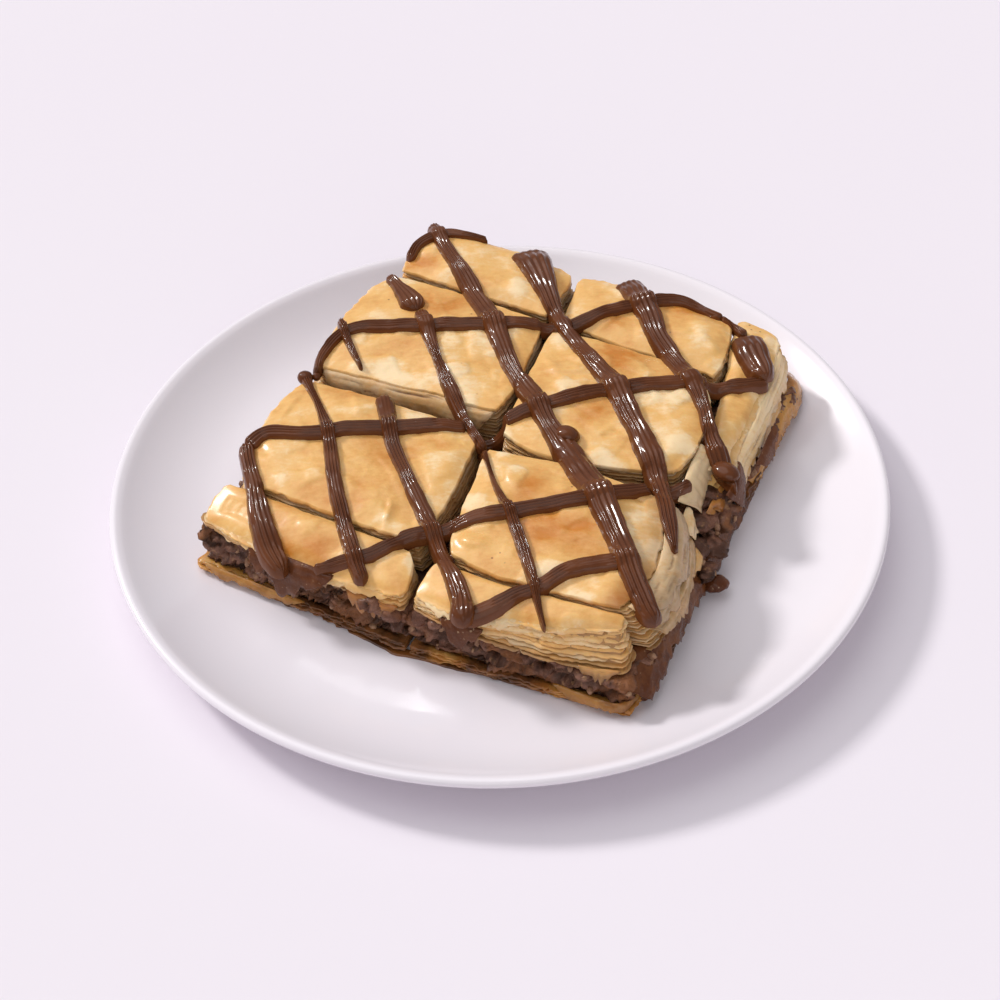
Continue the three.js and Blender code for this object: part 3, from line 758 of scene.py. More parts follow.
def toasting_group():
    """Baked pastry from pale to golden to toasted, with soft streaks and dark marks."""
    m, source, goal = new_tree("ShaderNodeTree", "toasting", {
        "Place": ("vector", None), "Toast": ("value", 0.3), "Pale": ("colour", None),
        "Golden": ("colour", None), "Toasted": ("colour", None), "Marks": ("colour", None),
    }, {"Color": "colour"})
    place = source["Place"]
    broad = m.noise(place, 95, 3, 0.55)
    streaky = m.noise(m.stretched(place, 1.0, 2.2, 1.0), 300, 4, 0.65)
    fine = m.noise(place, 900, 3, 0.6)
    uneven = m.total(m.centred(broad, 0.7), m.centred(streaky, 0.5), m.centred(fine, 0.25))
    baked = m.total(source["Toast"], uneven)
    colour = m.mix(m.between(baked, -0.05, 0.4), source["Pale"], source["Golden"], "RGBA")
    browned = m.between(baked, 0.4, 1.0, smooth=False)
    colour = m.mix(browned, colour, source["Toasted"], "RGBA")
    rare = m.between(m.noise(place, 130, 1), 0.6, 0.64)
    speck = m.product(m.between(m.cells(place, 240.0), 0.11, 0.05), rare)
    colour = m.mix(m.product(speck, 0.7), colour, source["Marks"], "RGBA")
    m.feed(goal["Color"], colour)
    return m.tree


def grain_group():
    """Height of a fine surface grain in two sizes."""
    m, source, goal = new_tree("ShaderNodeTree", "fine grain", {
        "Place": ("vector", None), "Coarse Scale": ("value", 400.0),
        "Fine Scale": ("value", 2500.0), "Fine Share": ("value", 0.3),
    }, {"Height": "value"})
    coarse = m.noise(source["Place"], source["Coarse Scale"], 3, 0.55)
    fine = m.noise(source["Place"], source["Fine Scale"], 2, 0.6)
    m.feed(goal["Height"], m.mix(source["Fine Share"], coarse, fine))
    return m.tree


def shine_group():
    """Roughness that varies in soft patches, as a thin coat of syrup or butter does."""
    m, source, goal = new_tree("ShaderNodeTree", "uneven shine", {
        "Place": ("vector", None), "Size Scale": ("value", 150.0), "Smoothest": ("value", 0.3),
        "Roughest": ("value", 0.5),
    }, {"Roughness": "value"})
    wet = m.noise(source["Place"], source["Size Scale"], 3, 0.6)
    rough = m.between(wet, 0.35, 0.65, source["Smoothest"], source["Roughest"])
    m.feed(goal["Roughness"], rough)
    return m.tree


TOASTING = toasting_group()
GRAIN = grain_group()
SHINE = shine_group()


# Materials

def rgb(red, green, blue):
    return (red, green, blue, 1.0)


class Finish(Maker):
    """A material in the making. Its constants are set on its principled shader's own sockets."""

    def __init__(self, name, **constants):
        self.material = bpy.data.materials.new(name)
        self.material.use_nodes = True
        super().__init__(self.material.node_tree)
        self.sockets = self.tree.nodes["Principled BSDF"].inputs
        for key, value in constants.items():
            self.sockets[key.replace("_", " ").title().replace("Ior", "IOR")].default_value = value
        self.place = self.out("ShaderNodeTexCoord", output="Object")

    def attribute(self, title):
        return self.out("ShaderNodeAttribute", attribute_name=title, output="Fac")

    def group(self, tree, **inputs):
        """The output of a shared effect at this material's place."""
        node = self.tree.nodes.new("ShaderNodeGroup")
        node.node_tree = tree
        for key, value in {"place": self.place, **inputs}.items():
            self.feed(node.inputs[key.replace("_", " ").title()], value)
        return node.outputs[0]

    def patches(self, scale, low, high, detail=3, roughness=0.6, stretch=None):
        """Soft patches, from 0 where the noise is at low to 1 where it is at high."""
        place = self.stretched(self.place, *stretch) if stretch else self.place
        return self.between(self.noise(place, scale, detail, roughness), low, high)

    def tinted(self, mask, below, above, strength=None):
        """One colour or mix of colours over another where a mask says, up to a strength."""
        if strength is not None:
            mask = self.product(mask, strength)
        return self.mix(mask, below, above, "RGBA")

    def done(self, colour, shine, grain, bump, strength):
        """The material with its colour, its uneven shine and a grain as high as bump."""
        self.feed(self.sockets["Base Color"], colour)
        self.feed(self.sockets["Roughness"], self.group(SHINE, **shine))
        coarse, fine, share = grain
        height = self.group(GRAIN, coarse_scale=coarse, fine_scale=fine, fine_share=share)
        inputs = {"Strength": strength, "Distance": bump * MM, "Height": height}
        self.feed(self.sockets["Normal"], self.out("ShaderNodeBump", inputs))
        return self.material


def baked_leaf_finish():
    m = Finish("baked pastry leaf", subsurface_weight=0.08, subsurface_scale=0.0012,
               specular_ior_level=0.25, coat_roughness=0.2, coat_weight=0.45)
    baked = m.group(TOASTING, toast=m.attribute("toast"), pale=rgb(0.96, 0.71, 0.42),
                    golden=rgb(0.85, 0.48, 0.16), toasted=rgb(0.60, 0.215, 0.03),
                    marks=rgb(0.20, 0.08, 0.03))
    uneven = m.between(m.noise(m.place, 150, 3, 0.6), 0.2, 0.5, 0.75)
    # The stain attribute browns the leaf where syrup and chocolate soak it, and also carries
    # painted shade in gaps, cuts, creases and on shaded sides.
    stained = m.product(m.attribute("stain"), uneven)
    stain = m.tinted(m.patches(210, 0.4, 0.6, detail=2, roughness=0.5),
                     rgb(0.13, 0.052, 0.020), rgb(0.26, 0.12, 0.055))
    return m.done(m.tinted(stained, baked, stain), dict(smoothest=0.3, roughest=0.5),
                  grain=(240.0, 1500.0, 0.1), bump=0.6, strength=0.35)


def soaked_base_finish():
    m = Finish("syrup-soaked pastry", subsurface_weight=0.12, subsurface_scale=0.0015,
               coat_weight=0.6, coat_roughness=0.12, specular_ior_level=0.2)
    amber = m.tinted(m.patches(90, 0.4, 0.7, detail=4), rgb(0.60, 0.275, 0.06),
                     rgb(0.34, 0.12, 0.022))
    amber = m.tinted(m.patches(170, 0.5, 0.66), amber, rgb(0.74, 0.44, 0.15), 0.35)
    dark = m.tinted(m.patches(170, 0.38, 0.64), rgb(0.085, 0.032, 0.014),
                    rgb(0.27, 0.105, 0.034))
    # The stain attribute darkens the base with syrup, and the flaps' creases with painted shade.
    return m.done(m.tinted(m.attribute("stain"), amber, dark),
                  dict(smoothest=0.2, roughest=0.42),
                  grain=(420.0, 1800.0, 0.25), bump=0.6, strength=0.7)


def filling_finish():
    m = Finish("nut and chocolate filling", coat_weight=0.2, coat_roughness=0.2,
               specular_ior_level=0.15)
    chunks = m.patches(190, 0.36, 0.64, detail=4, roughness=0.65, stretch=(1.0, 1.0, 1.7))
    colour = m.tinted(chunks, rgb(0.145, 0.058, 0.034), rgb(0.27, 0.13, 0.086))
    colour = m.tinted(m.patches(420, 0.58, 0.7), colour, rgb(0.50, 0.27, 0.13), 0.6)
    brown = m.patches(90, 0.48, 0.62, detail=2, roughness=0.5)
    colour = m.tinted(brown, colour, rgb(0.24, 0.088, 0.028), 0.8)
    # Painted shade: pits and the gaps between lumps turn nearly black.
    colour = m.tinted(m.attribute("pit"), colour, rgb(0.03, 0.010, 0.004))
    return m.done(colour, dict(size_scale=300.0, smoothest=0.3, roughest=0.6),
                  grain=(650.0, 2400.0, 0.3), bump=0.9, strength=0.9)


def nut_finish():
    m = Finish("chopped nut", coat_weight=0.1, specular_ior_level=0.2)
    colour = m.tinted(m.patches(330, 0.35, 0.65), rgb(0.17, 0.075, 0.042),
                      rgb(0.42, 0.24, 0.14))
    return m.done(colour, dict(size_scale=500.0, smoothest=0.4, roughest=0.7),
                  grain=(1200.0, 3500.0, 0.3), bump=0.5, strength=0.8)


def chocolate_finish():
    m = Finish("milk chocolate", coat_weight=0.5, coat_roughness=0.09, specular_ior_level=0.06)
    colour = m.tinted(m.patches(110, 0.35, 0.65), rgb(0.105, 0.029, 0.008),
                      rgb(0.135, 0.040, 0.012))
    rim = m.between(m.attribute("rim"), 0.8, 1.0)
    colour = m.tinted(rim, colour, rgb(0.16, 0.05, 0.013), 0.6)
    return m.done(colour, dict(size_scale=120.0, smoothest=0.24, roughest=0.36),
                  grain=(160.0, 900.0, 0.01), bump=0.3, strength=0.1)


def chocolate_film_finish():
    m = Finish("thin chocolate film", coat_weight=0.35, coat_roughness=0.08,
               specular_ior_level=0.08)
    colour = m.tinted(m.patches(140, 0.35, 0.65, detail=4, stretch=(1.0, 1.0, 0.6)),
                      rgb(0.100, 0.028, 0.009), rgb(0.150, 0.054, 0.025))
    specks = m.patches(700, 0.68, 0.74, detail=2, roughness=0.5)
    colour = m.tinted(specks, colour, rgb(0.50, 0.33, 0.20), 0.8)
    dark = m.tinted(m.patches(200, 0.4, 0.65), rgb(0.11, 0.030, 0.007),
                    rgb(0.20, 0.070, 0.020))
    # The stain attribute darkens the film towards its end, and its creases with painted shade.
    return m.done(m.tinted(m.attribute("stain"), colour, dark, 0.9),
                  dict(size_scale=200.0, smoothest=0.2, roughest=0.42),
                  grain=(380.0, 1500.0, 0.2), bump=0.9, strength=0.7)


def syrup_finish():
    m = Finish("brown syrup", coat_weight=0.8, coat_roughness=0.05, specular_ior_level=0.2)
    colour = m.tinted(m.patches(140, 0.35, 0.65), rgb(0.07, 0.022, 0.006),
                      rgb(0.21, 0.075, 0.018))
    return m.done(colour, dict(smoothest=0.06, roughest=0.16),
                  grain=(260.0, 900.0, 0.2), bump=0.3, strength=0.3)


def ceramic_finish():
    m = Finish("white glazed ceramic", coat_weight=0.3, coat_roughness=0.06)
    colour = m.tinted(m.patches(9, 0.3, 0.7, detail=2, roughness=0.5), rgb(0.85, 0.80, 0.86),
                      rgb(0.87, 0.82, 0.875))
    return m.done(colour, dict(size_scale=30.0, smoothest=0.16, roughest=0.22),
                  grain=(22.0, 700.0, 0.02), bump=1.2, strength=0.12)


def floor_finish():
    m = Finish("pale studio floor", roughness=0.85)
    colour = m.tinted(m.patches(3, 0.3, 0.7, detail=2, roughness=0.5),
                      rgb(0.83, 0.775, 0.845), rgb(0.835, 0.785, 0.85))
    m.feed(m.sockets["Base Color"], colour)
    return m.material


LEAF = baked_leaf_finish()
SOAKED = soaked_base_finish()
FILLING = filling_finish()
NUT = nut_finish()
CHOCOLATE = chocolate_finish()
FILM = chocolate_film_finish()
SYRUP = syrup_finish()
CERAMIC = ceramic_finish()


# Geometry node trees

SAME_PLACE = 0.000001


class ShapeMaker(Maker):
    """Adds the nodes that geometry trees share."""

    def position(self):
        return self.out("GeometryNodeInputPosition")

    def normal(self):
        return self.out("GeometryNodeInputNormal")

    def named(self, title, kind="FLOAT"):
        """An attribute that the mesh has kept."""
        return self.out("GeometryNodeInputNamedAttribute", {"Name": title}, data_type=kind)

    def stored(self, geometry, title, value, domain="POINT"):
        inputs = {"Geometry": geometry, "Name": title, "Value": value}
        return self.out("GeometryNodeStoreNamedAttribute", inputs, domain=domain)

    def captured(self, geometry, **values):
        """Outputs of a node that holds on to values, each given with its kind."""
        node = self.add("GeometryNodeCaptureAttribute", {"Geometry": geometry})
        for title, (kind, value) in values.items():
            node.capture_items.new(kind, title)
            self.feed(node.inputs[title], value)
        return node.outputs

    def placed(self, geometry, place):
        return self.out("GeometryNodeSetPosition", {"Geometry": geometry, "Position": place})

    def shifted(self, geometry, direction, amount):
        inputs = {"Geometry": geometry, "Offset": self.scaled(direction, amount)}
        return self.out("GeometryNodeSetPosition", inputs)

    def random(self, low, high, seed):
        """Three random values for each point."""
        return self.out("FunctionNodeRandomValue", {"Min": low, "Max": high, "Seed": seed},
                        data_type="FLOAT_VECTOR")

    def swept(self, curve, profile, **more):
        inputs = {"Curve": curve, "Profile Curve": profile, **more}
        return self.out("GeometryNodeCurveToMesh", inputs)

    def realized(self, geometry):
        return self.out("GeometryNodeRealizeInstances", {"Geometry": geometry})

    def joined(self, *parts):
        node = self.tree.nodes.new("GeometryNodeJoinGeometry")
        for part in parts:
            self.feed(node.inputs[0], part)
        return node.outputs[0]

    def thickened(self, mesh, thickness, direction=None):
        """A closed leaf: the mesh turned over, and its faces raised by the thickness."""
        raised = self.out("GeometryNodeExtrudeMesh", {
            "Mesh": mesh, "Offset": direction, "Offset Scale": thickness, "Individual": False},
            mode="FACES")
        under = self.out("GeometryNodeFlipFaces", {"Mesh": mesh})
        return self.out("GeometryNodeMergeByDistance", {
            "Geometry": self.joined(under, raised), "Distance": SAME_PLACE})

    def smooth(self, geometry):
        return self.out("GeometryNodeSetShadeSmooth", {"Geometry": geometry})

    def finished(self, geometry, finish):
        """The geometry with its instances made real and its material set."""
        inputs = {"Geometry": self.realized(geometry), "Material": finish}
        return self.out("GeometryNodeSetMaterial", inputs)


def geometry_tree(name, inputs):
    """A tree for a modifier, which takes a mesh and gives one back."""
    m, source, goal = new_tree(
        "GeometryNodeTree", name, {"Geometry": ("geometry", None), **inputs},
        {"Geometry": "geometry"}, ShapeMaker)
    m.tree.is_modifier = True
    return m, source, goal


def leaf_stack_tree():
    """Copies of a ring of pastry at even heights, each with its own reach, tears and waves."""
    m, source, goal = geometry_tree("leaf stack", {
        "Leaves": ("count", 10), "Thickness": ("value", 0.00028), "Reach": ("value", 0.001),
        "Wave": ("value", 0.0012), "Wave Size": ("value", 0.014), "Steepness": ("value", 1.0),
        "Seed": ("value", 0.0), "Finish": ("material", None)})
    line = m.out("GeometryNodeMeshLine", {"Count": source["Leaves"], "Offset": (0, 0, 0)})
    copies = m.out("GeometryNodeInstanceOnPoints", {
        "Points": line, "Instance": source["Geometry"]})
    copies = m.stored(copies, "leaf", m.out("GeometryNodeInputIndex"), domain="INSTANCE")
    sheets = m.realized(copies)
    leaf, edge, free = (m.named(title) for title in ("leaf", "edge", "open"))
    foot, crown, outward = (m.named(title, "FLOAT_VECTOR")
                            for title in ("foot", "crown", "outward"))
    shift = m.total(m.product(source["Seed"], 0.37), leaf)

    def at(step, offset=0.0):
        """The place in plan, at a height of its own for each leaf."""
        return m.at_height(foot, m.total(m.product(shift, step), offset))

    # How high each leaf lies, from 0 to nearly 1
    uneven = m.centred(m.noise(at(3.1), 14, 1), 1.5)
    level = m.math("DIVIDE", m.total(leaf, 0.5, uneven), source["Leaves"])
    level = m.math("MAXIMUM", 0.0, m.math("MINIMUM", level, 0.94))

    # How far it reaches out: broadly, by its own measure, and with teeth and tears
    broad = m.centred(m.noise(at(0.03), 100, 2), 3.2)
    own = m.centred(m.noise(m.combined(z=m.product(shift, 3.7)), 1.0, 0), 3.0)
    crest = m.math("ABSOLUTE", m.math("SUBTRACT", m.noise(at(0.9, 4.0), 260, 2, 0.6), 0.5))
    teeth = m.math("SUBTRACT", 0.5, m.product(crest, 5.0))
    tears = m.between(m.noise(at(1.7, 5.0), 420, 2), 0.62, 0.7)
    reach = m.product(m.total(broad, own, teeth), source["Reach"])
    reach = m.math("SUBTRACT", reach, m.product(tears, 0.001))
    reach = m.product(reach, m.total(0.3, m.product(free, 0.7)))

    # How it waves up and down
    wave = m.noise(at(0.006, 3.0), m.math("DIVIDE", 1.0, source["Wave Size"]), 2)
    curl = m.noise(at(0.9, 9.0), 150, 2)
    lift = m.total(m.centred(wave, source["Wave"]),
                   m.centred(curl, m.product(source["Wave"], 0.8)))

    spread = m.math("POWER", m.math("SUBTRACT", 1.0, level), source["Steepness"])
    plan = m.mix(spread, crown, foot, "VECTOR")
    place = m.at_height(plan, m.mix(level, m.part(foot, "Z"), m.part(crown, "Z")))
    place = m.vector("ADD", place, m.scaled(outward, m.product(reach, edge)))
    place = m.vector("ADD", place, m.combined(z=m.product(lift, edge)))
    sheets = m.stored(m.placed(sheets, place), "level", level)
    whole = m.thickened(sheets, source["Thickness"], (0, 0, 1))
    m.feed(goal["Geometry"], m.finished(whole, source["Finish"]))
    return m.tree


def hanging_leaf_tree():
    """A thin leaf that starts along a path and bends out and down from it to a torn end."""
    m, source, goal = geometry_tree("hanging leaf", {
        "Reach": ("value", 0.004), "Drop": ("value", 0.008), "Torn": ("value", 0.4),
        "Torn Scale": ("value", 160.0), "Ridge Height": ("value", 0.0005),
        "Ridge Scale": ("value", 430.0), "Ridge Stretch": ("value", 0.12),
        "Rows": ("count", 16), "Thickness": ("value", 0.00028), "Toast": ("value", 0.2),
        "Stain": ("value", 0.2), "Stain Start": ("value", 0.4), "Crease": ("value", 0.4),
        "Seed": ("value", 0.0), "Finish": ("material", None)})
    kept = m.captured(
        m.out("GeometryNodeMeshToCurve", {"Mesh": source["Geometry"]}),
        Middle=("VECTOR", m.position()), Outward=("VECTOR", m.named("outward", "FLOAT_VECTOR")),
        Size=("FLOAT", m.named("size")), Far=("FLOAT", m.named("far")))
    line = m.out("GeometryNodeCurvePrimitiveLine", {
        "Start": (0.0, 0.0, 0.0), "End": (1.0, 0.0, 0.0)})
    line = m.out("GeometryNodeResampleCurve", {"Curve": line, "Count": source["Rows"]})
    down = m.captured(line, Down=("VECTOR", m.position()))
    strip = m.swept(kept["Geometry"], down["Geometry"])
    share = m.part(down["Down"], "X")
    seed = m.product(source["Seed"], 1.7)
    along = kept["Far"]

    # Out and down in a quarter of an oval, as far as the torn end
    torn = m.noise(m.combined(along, 0.0, seed), source["Torn Scale"], 3, 0.65)
    torn = m.product(m.between(torn, 0.3, 0.7), source["Torn"])
    far = m.product(share, m.product(kept["Size"], m.math("SUBTRACT", 1.0, torn)))
    angle = m.product(far, math.pi / 2)
    out = m.product(source["Reach"], m.math("SINE", angle))
    fall = m.product(source["Drop"], m.math("SUBTRACT", 1.0, m.math("COSINE", angle)))
    place = m.vector("ADD", kept["Middle"], m.scaled(kept["Outward"], out))
    place = m.vector("SUBTRACT", place, m.combined(z=fall))
    strip = m.placed(strip, place)

    # Ridges, with shade painted into the creases between them
    run = m.product(far, m.total(source["Reach"], source["Drop"]))
    grain_place = m.combined(m.product(along, source["Ridge Stretch"]), run, seed)
    ridges = m.noise(grain_place, source["Ridge Scale"], 2, 0.6)
    crease = m.product(m.between(ridges, 0.52, 0.34), source["Crease"])
    ridges = m.centred(ridges, m.product(source["Ridge Height"], 2.0))
    ridges = m.product(ridges, m.between(share, 0.0, 0.25, 0.2))
    strip = m.shifted(strip, m.normal(), ridges)
    stain = m.product(source["Stain"], m.between(share, 0.0, 1.0, source["Stain Start"]))
    strip = m.stored(strip, "toast", source["Toast"])
    strip = m.stored(strip, "stain", m.math("MAXIMUM", stain, crease))
    whole = m.smooth(m.thickened(strip, source["Thickness"]))
    m.feed(goal["Geometry"], m.finished(whole, source["Finish"]))
    return m.tree


def crumble_tree():
    """Lumps, ledges, pits and fine roughness over a block, with chopped pieces on its sides; shade
    is painted into the pits and between the lumps.
    """
    m, source, goal = geometry_tree("crumbled filling", {
        "Lump Scale": ("value", 150.0), "Lump Height": ("value", 0.0021),
        "Ledge Height": ("value", 0.002), "Pit Depth": ("value", 0.0042),
        "Pieces": ("value", 60000.0), "Piece Size": ("value", 0.0012), "Seed": ("count", 0),
        "Filling": ("material", None), "Nut": ("material", None)})
    place, normal = m.position(), m.normal()
    flat = m.stretched(place, 1.0, 1.0, 1.7)
    bent = m.vector("ADD", flat, m.scaled(m.noise(place, 170, 2, output="Color"), 0.005))
    big = m.between(m.cells(bent, source["Lump Scale"]), 0.78, 0.1)
    small = m.between(m.cells(bent, m.product(source["Lump Scale"], 2.6)), 0.78, 0.1)
    ledges = m.noise(m.stretched(place, 1.0, 1.0, 4.0), 120, 2)
    fine = m.noise(place, 700, 2, 0.6)
    hollow = m.between(m.noise(m.stretched(place, 1.0, 1.0, 2.2), 125, 2), 0.53, 0.63)
    rise = m.total(
        m.product(big, source["Lump Height"]), m.product(small, 0.0007),
        m.centred(ledges, m.product(source["Ledge Height"], 2.0)), m.centred(fine, 0.0009))
    rise = m.math("SUBTRACT", rise, m.product(hollow, source["Pit Depth"]))
    side = m.between(m.math("ABSOLUTE", m.part(normal, "Z")), 0.8, 0.4)
    block = m.shifted(source["Geometry"], normal, m.product(rise, side))
    # Painted shade: pits and the gaps between lumps are kept to be coloured nearly black.
    pit = m.math("MAXIMUM", hollow, m.between(big, 0.3, 0.0, 0.0, 0.7))
    block = m.finished(m.stored(block, "pit", m.product(pit, 0.9)), source["Filling"])

    # Chopped pieces of all shapes and sizes
    spread = m.add("GeometryNodeDistributePointsOnFaces", {
        "Mesh": block, "Density": m.product(source["Pieces"], side), "Seed": source["Seed"]})
    piece = m.out("GeometryNodeMeshIcoSphere", {
        "Radius": source["Piece Size"], "Subdivisions": 2})
    piece = m.shifted(piece, place, m.centred(m.noise(place, 700, 2, 0.7), 1.6))
    turn = m.random((0.0, 0.0, 0.0), (6.28, 6.28, 6.28), source["Seed"])
    size = m.random((0.45, 0.35, 0.3), (1.6, 1.1, 0.9), source["Seed"])
    scattered = m.out("GeometryNodeInstanceOnPoints", {
        "Points": spread.outputs["Points"], "Instance": piece, "Rotation": turn,
        "Scale": size})
    whole = m.joined(m.finished(scattered, source["Nut"]), block)
    m.feed(goal["Geometry"], m.smooth(whole))
    return m.tree


def lumps_tree():
    """A rough rounded lump at every point, as large as its own radii."""
    m, source, goal = geometry_tree("rough lumps", {
        "Roughness": ("value", 0.0008), "Detail Scale": ("value", 420.0),
        "Turned": ("value", 1.0), "Seed": ("count", 0), "Finish": ("material", None)})
    points = m.out("GeometryNodeMeshToPoints", {"Mesh": source["Geometry"]})
    ball = m.out("GeometryNodeMeshIcoSphere", {"Radius": 1.0, "Subdivisions": 4})
    turn = m.random((-0.5, -0.5, -3.0), (0.5, 0.5, 3.0), source["Seed"])
    lumps = m.realized(m.out("GeometryNodeInstanceOnPoints", {
        "Points": points, "Instance": ball, "Rotation": m.scaled(turn, source["Turned"]),
        "Scale": m.named("radii", "FLOAT_VECTOR")}))
    rough = m.noise(m.position(), source["Detail Scale"], 3, 0.55)
    rough = m.centred(rough, m.product(source["Roughness"], 2.0))
    lumps = m.smooth(m.shifted(lumps, m.normal(), rough))
    m.feed(goal["Geometry"], m.finished(lumps, source["Finish"]))
    return m.tree


def strand_tree():
    """A ribbed strand of chocolate along a path, its edges lying on what is under it."""
    m, source, goal = geometry_tree("drizzle strand", {
        "Under": ("object", None), "Ribs": ("value", 5.0), "Rib Height": ("value", 0.0003),
        "Thinnest": ("value", STRAND_THINNEST * MM), "Thicker": ("value", STRAND_THICKER),
        "Unevenness": ("value", 0.16), "Sides": ("count", 56), "Finish": ("material", None)})
    kept = m.captured(
        m.out("GeometryNodeMeshToCurve", {"Mesh": source["Geometry"]}),
        Middle=("VECTOR", m.position()), Along=("VECTOR", m.out("GeometryNodeInputTangent")),
        Width=("FLOAT", m.named("width")), Thin=("FLOAT", m.named("thin")),
        End=("FLOAT", m.named("end")))
    middle, width, thin, end = (kept[title] for title in ("Middle", "Width", "Thin", "End"))
    ring = m.out("GeometryNodeCurvePrimitiveQuadrilateral", {"Width": 2.0, "Height": 0.2})
    ring = m.out("GeometryNodeResampleCurve", {"Curve": ring, "Count": source["Sides"]})
    outline = m.captured(ring, Ring=("VECTOR", m.position()))
    tube = m.swept(kept["Geometry"], outline["Geometry"], **{"Fill Caps": True})
    across = m.part(outline["Ring"], "X")
    upper = m.between(m.part(outline["Ring"], "Y"), -0.1, 0.1, smooth=False)

    # The plan: uneven edges on both sides of the path
    sideways = m.vector("NORMALIZE", m.vector("CROSS_PRODUCT", kept["Along"], (0.0, 0.0, 1.0)))
    side_noise = m.noise(m.vector("ADD", middle, m.combined(z=m.math("SIGN", across))), 190, 2)
    bulge = m.total(1.0, m.centred(side_noise, m.product(source["Unevenness"], 2.0)))
    half = m.product(m.product(width, 0.5), m.product(bulge, end))
    plan = m.vector("ADD", middle, m.scaled(sideways, m.product(across, half)))

    # The underside: what a ray down finds, but never far from the path's own height
    target = m.out("GeometryNodeObjectInfo", {"Object": source["Under"]}, output="Geometry")
    found = m.add("GeometryNodeRaycast", {
        "Target Geometry": target, "Source Position": m.at_height(plan, RAY_START * MM),
        "Ray Direction": (0.0, 0.0, -1.0), "Ray Length": 0.2}).outputs
    level = m.part(middle, "Z")
    low = m.math("SUBTRACT", level, EDGE_DROP * MM)
    rest = m.math("MAXIMUM", m.part(found["Hit Position"], "Z"), low)
    rest = m.mix(found["Is Hit"], low, rest)
    rest = m.math("MINIMUM", rest, m.total(level, EDGE_RISE * MM))

    # The rounded top and its ribs
    share = m.math("POWER", m.math("ABSOLUTE", across), 2.0)
    round_off = m.math("POWER", m.math("ABSOLUTE", across), 4.0)
    dome = m.math("SQRT", m.math("MAXIMUM", 0.0, m.math("SUBTRACT", 1.0, round_off)))
    thick = m.total(source["Thinnest"], m.product(width, source["Thicker"]))
    thick = m.product(thick, end, thin)
    ribs = m.math("COSINE", m.product(across, math.pi, source["Ribs"]))
    fading = m.between(m.noise(middle, 75, 1), 0.34, 0.5, 0.15, 1.0)
    ribs = m.product(m.product(ribs, source["Rib Height"]),
                     m.product(m.product(fading, thin), m.product(dome, end)))
    top = m.total(m.mix(share, level, rest), m.product(thick, dome), ribs)
    height = m.mix(upper, m.math("SUBTRACT", rest, STRAND_SINK * MM),
                   m.total(top, STRAND_LEAST * MM))
    strand = m.placed(tube, m.at_height(plan, height))
    strand = m.smooth(m.stored(strand, "rim", m.math("ABSOLUTE", across)))
    m.feed(goal["Geometry"], m.finished(strand, source["Finish"]))
    return m.tree


STACK = leaf_stack_tree()
CRUMBLE = crumble_tree()
STRAND = strand_tree()
HANGING = hanging_leaf_tree()
LUMPS = lumps_tree()


# The plate

def plate_piece():
    """The plate, turned from a profile that runs from its foot round the lip to the middle."""
    lip_inner = PLATE_RADIUS - LIP_WIDTH
    face = [(r, plate_face(r)) for r in np.linspace(lip_inner - 1, FLOOR_RADIUS, FACE_ROWS)]
    under = [(r + 0.8, plate_face(r) - PLATE_WALL)
             for r in np.linspace(FLOOR_RADIUS, lip_inner - 1.5, FACE_ROWS)]
    lip = [(PLATE_RADIUS - 0.25, RIM_HEIGHT - 2.1), (PLATE_RADIUS, RIM_HEIGHT - 1.4),
           (PLATE_RADIUS - 0.2, RIM_HEIGHT - 0.7), (PLATE_RADIUS - 0.7, RIM_HEIGHT - 0.15),
           (PLATE_RADIUS - 1.5, RIM_HEIGHT), (PLATE_RADIUS - 2.3, RIM_HEIGHT - 0.12)]
    profile = [(FOOT_INNER - 2.5, FOOT_RECESS), (FOOT_INNER - 1.2, FOOT_RECESS - 0.2),
               (FOOT_INNER - 0.3, 0.4), (FOOT_INNER + 0.6, 0.05), (FOOT_INNER + 1.5, 0),
               (FOOT_OUTER - 1.5, 0), (FOOT_OUTER - 0.5, 0.05), (FOOT_OUTER + 0.5, 0.4),
               (FOOT_OUTER + 1.6, FOOT_RECESS - 0.1), (FOOT_OUTER + 4, FOOT_RECESS),
               (FLOOR_RADIUS - 6, FOOT_RECESS + 0.02), *under, *lip, *face,
               (FLOOR_RADIUS - 4, FLOOR_TOP), (40, FLOOR_TOP), (12, FLOOR_TOP)]
    turns = np.linspace(0, 2 * np.pi, PLATE_SIDES, endpoint=False)
    points = [(r * math.cos(t), r * math.sin(t), z) for r, z in profile for t in turns]
    top = len(points)
    points += [(0, 0, FLOOR_TOP), (0, 0, FOOT_RECESS)]
    made = mesh_object("serving_plate", points,
                       closed_bands(len(profile), PLATE_SIDES, top + 1, top), {})
    outward_faces(made)
    made.data.materials.append(CERAMIC)
    return made


# Baked tiles: a wrinkled top leaf, a stack of leaves under it and a core that backs them

def side_directions(corners):
    """The outward directions of a tile's back, right, front and left sides, in plan."""
    middle = np.mean(corners, axis=0)
    found = []
    for i, corner in enumerate(corners):
        after = corners[(i + 1) % 4]
        outward = np.array([after[1] - corner[1], corner[0] - after[0]])
        outward /= np.linalg.norm(outward)
        toward = (corner[:2] + after[:2]) / 2 - middle[:2]
        found.append(outward if outward @ toward > 0 else -outward)
    return np.array(found)


def fold_lift(x, y, folds):
    """How much folds raise a leaf: each is steep on one side and soft on the other."""
    lift = 0 * x
    for start, end, height, width in folds:
        start, end = np.array(start, float), np.array(end, float)
        length = np.linalg.norm(end - start)
        run = (end - start) / length
        along = (x - start[0]) * run[0] + (y - start[1]) * run[1]
        aside = (y - start[1]) * run[0] - (x - start[0]) * run[1]
        aside = aside + 0.9 * soft_noise(x, y, 9, 5) + 0.3 * soft_noise(x, y, 3, 6)
        taper = np.clip(np.minimum(along, length - along) / FOLD_TAPER + 0.6, 0, 1)
        spread = width * np.where(aside > 0, SOFT_SIDE, STEEP_SIDE)
        lift = lift + height * taper ** 2 * np.exp(-(aside / spread) ** 2)
    return lift


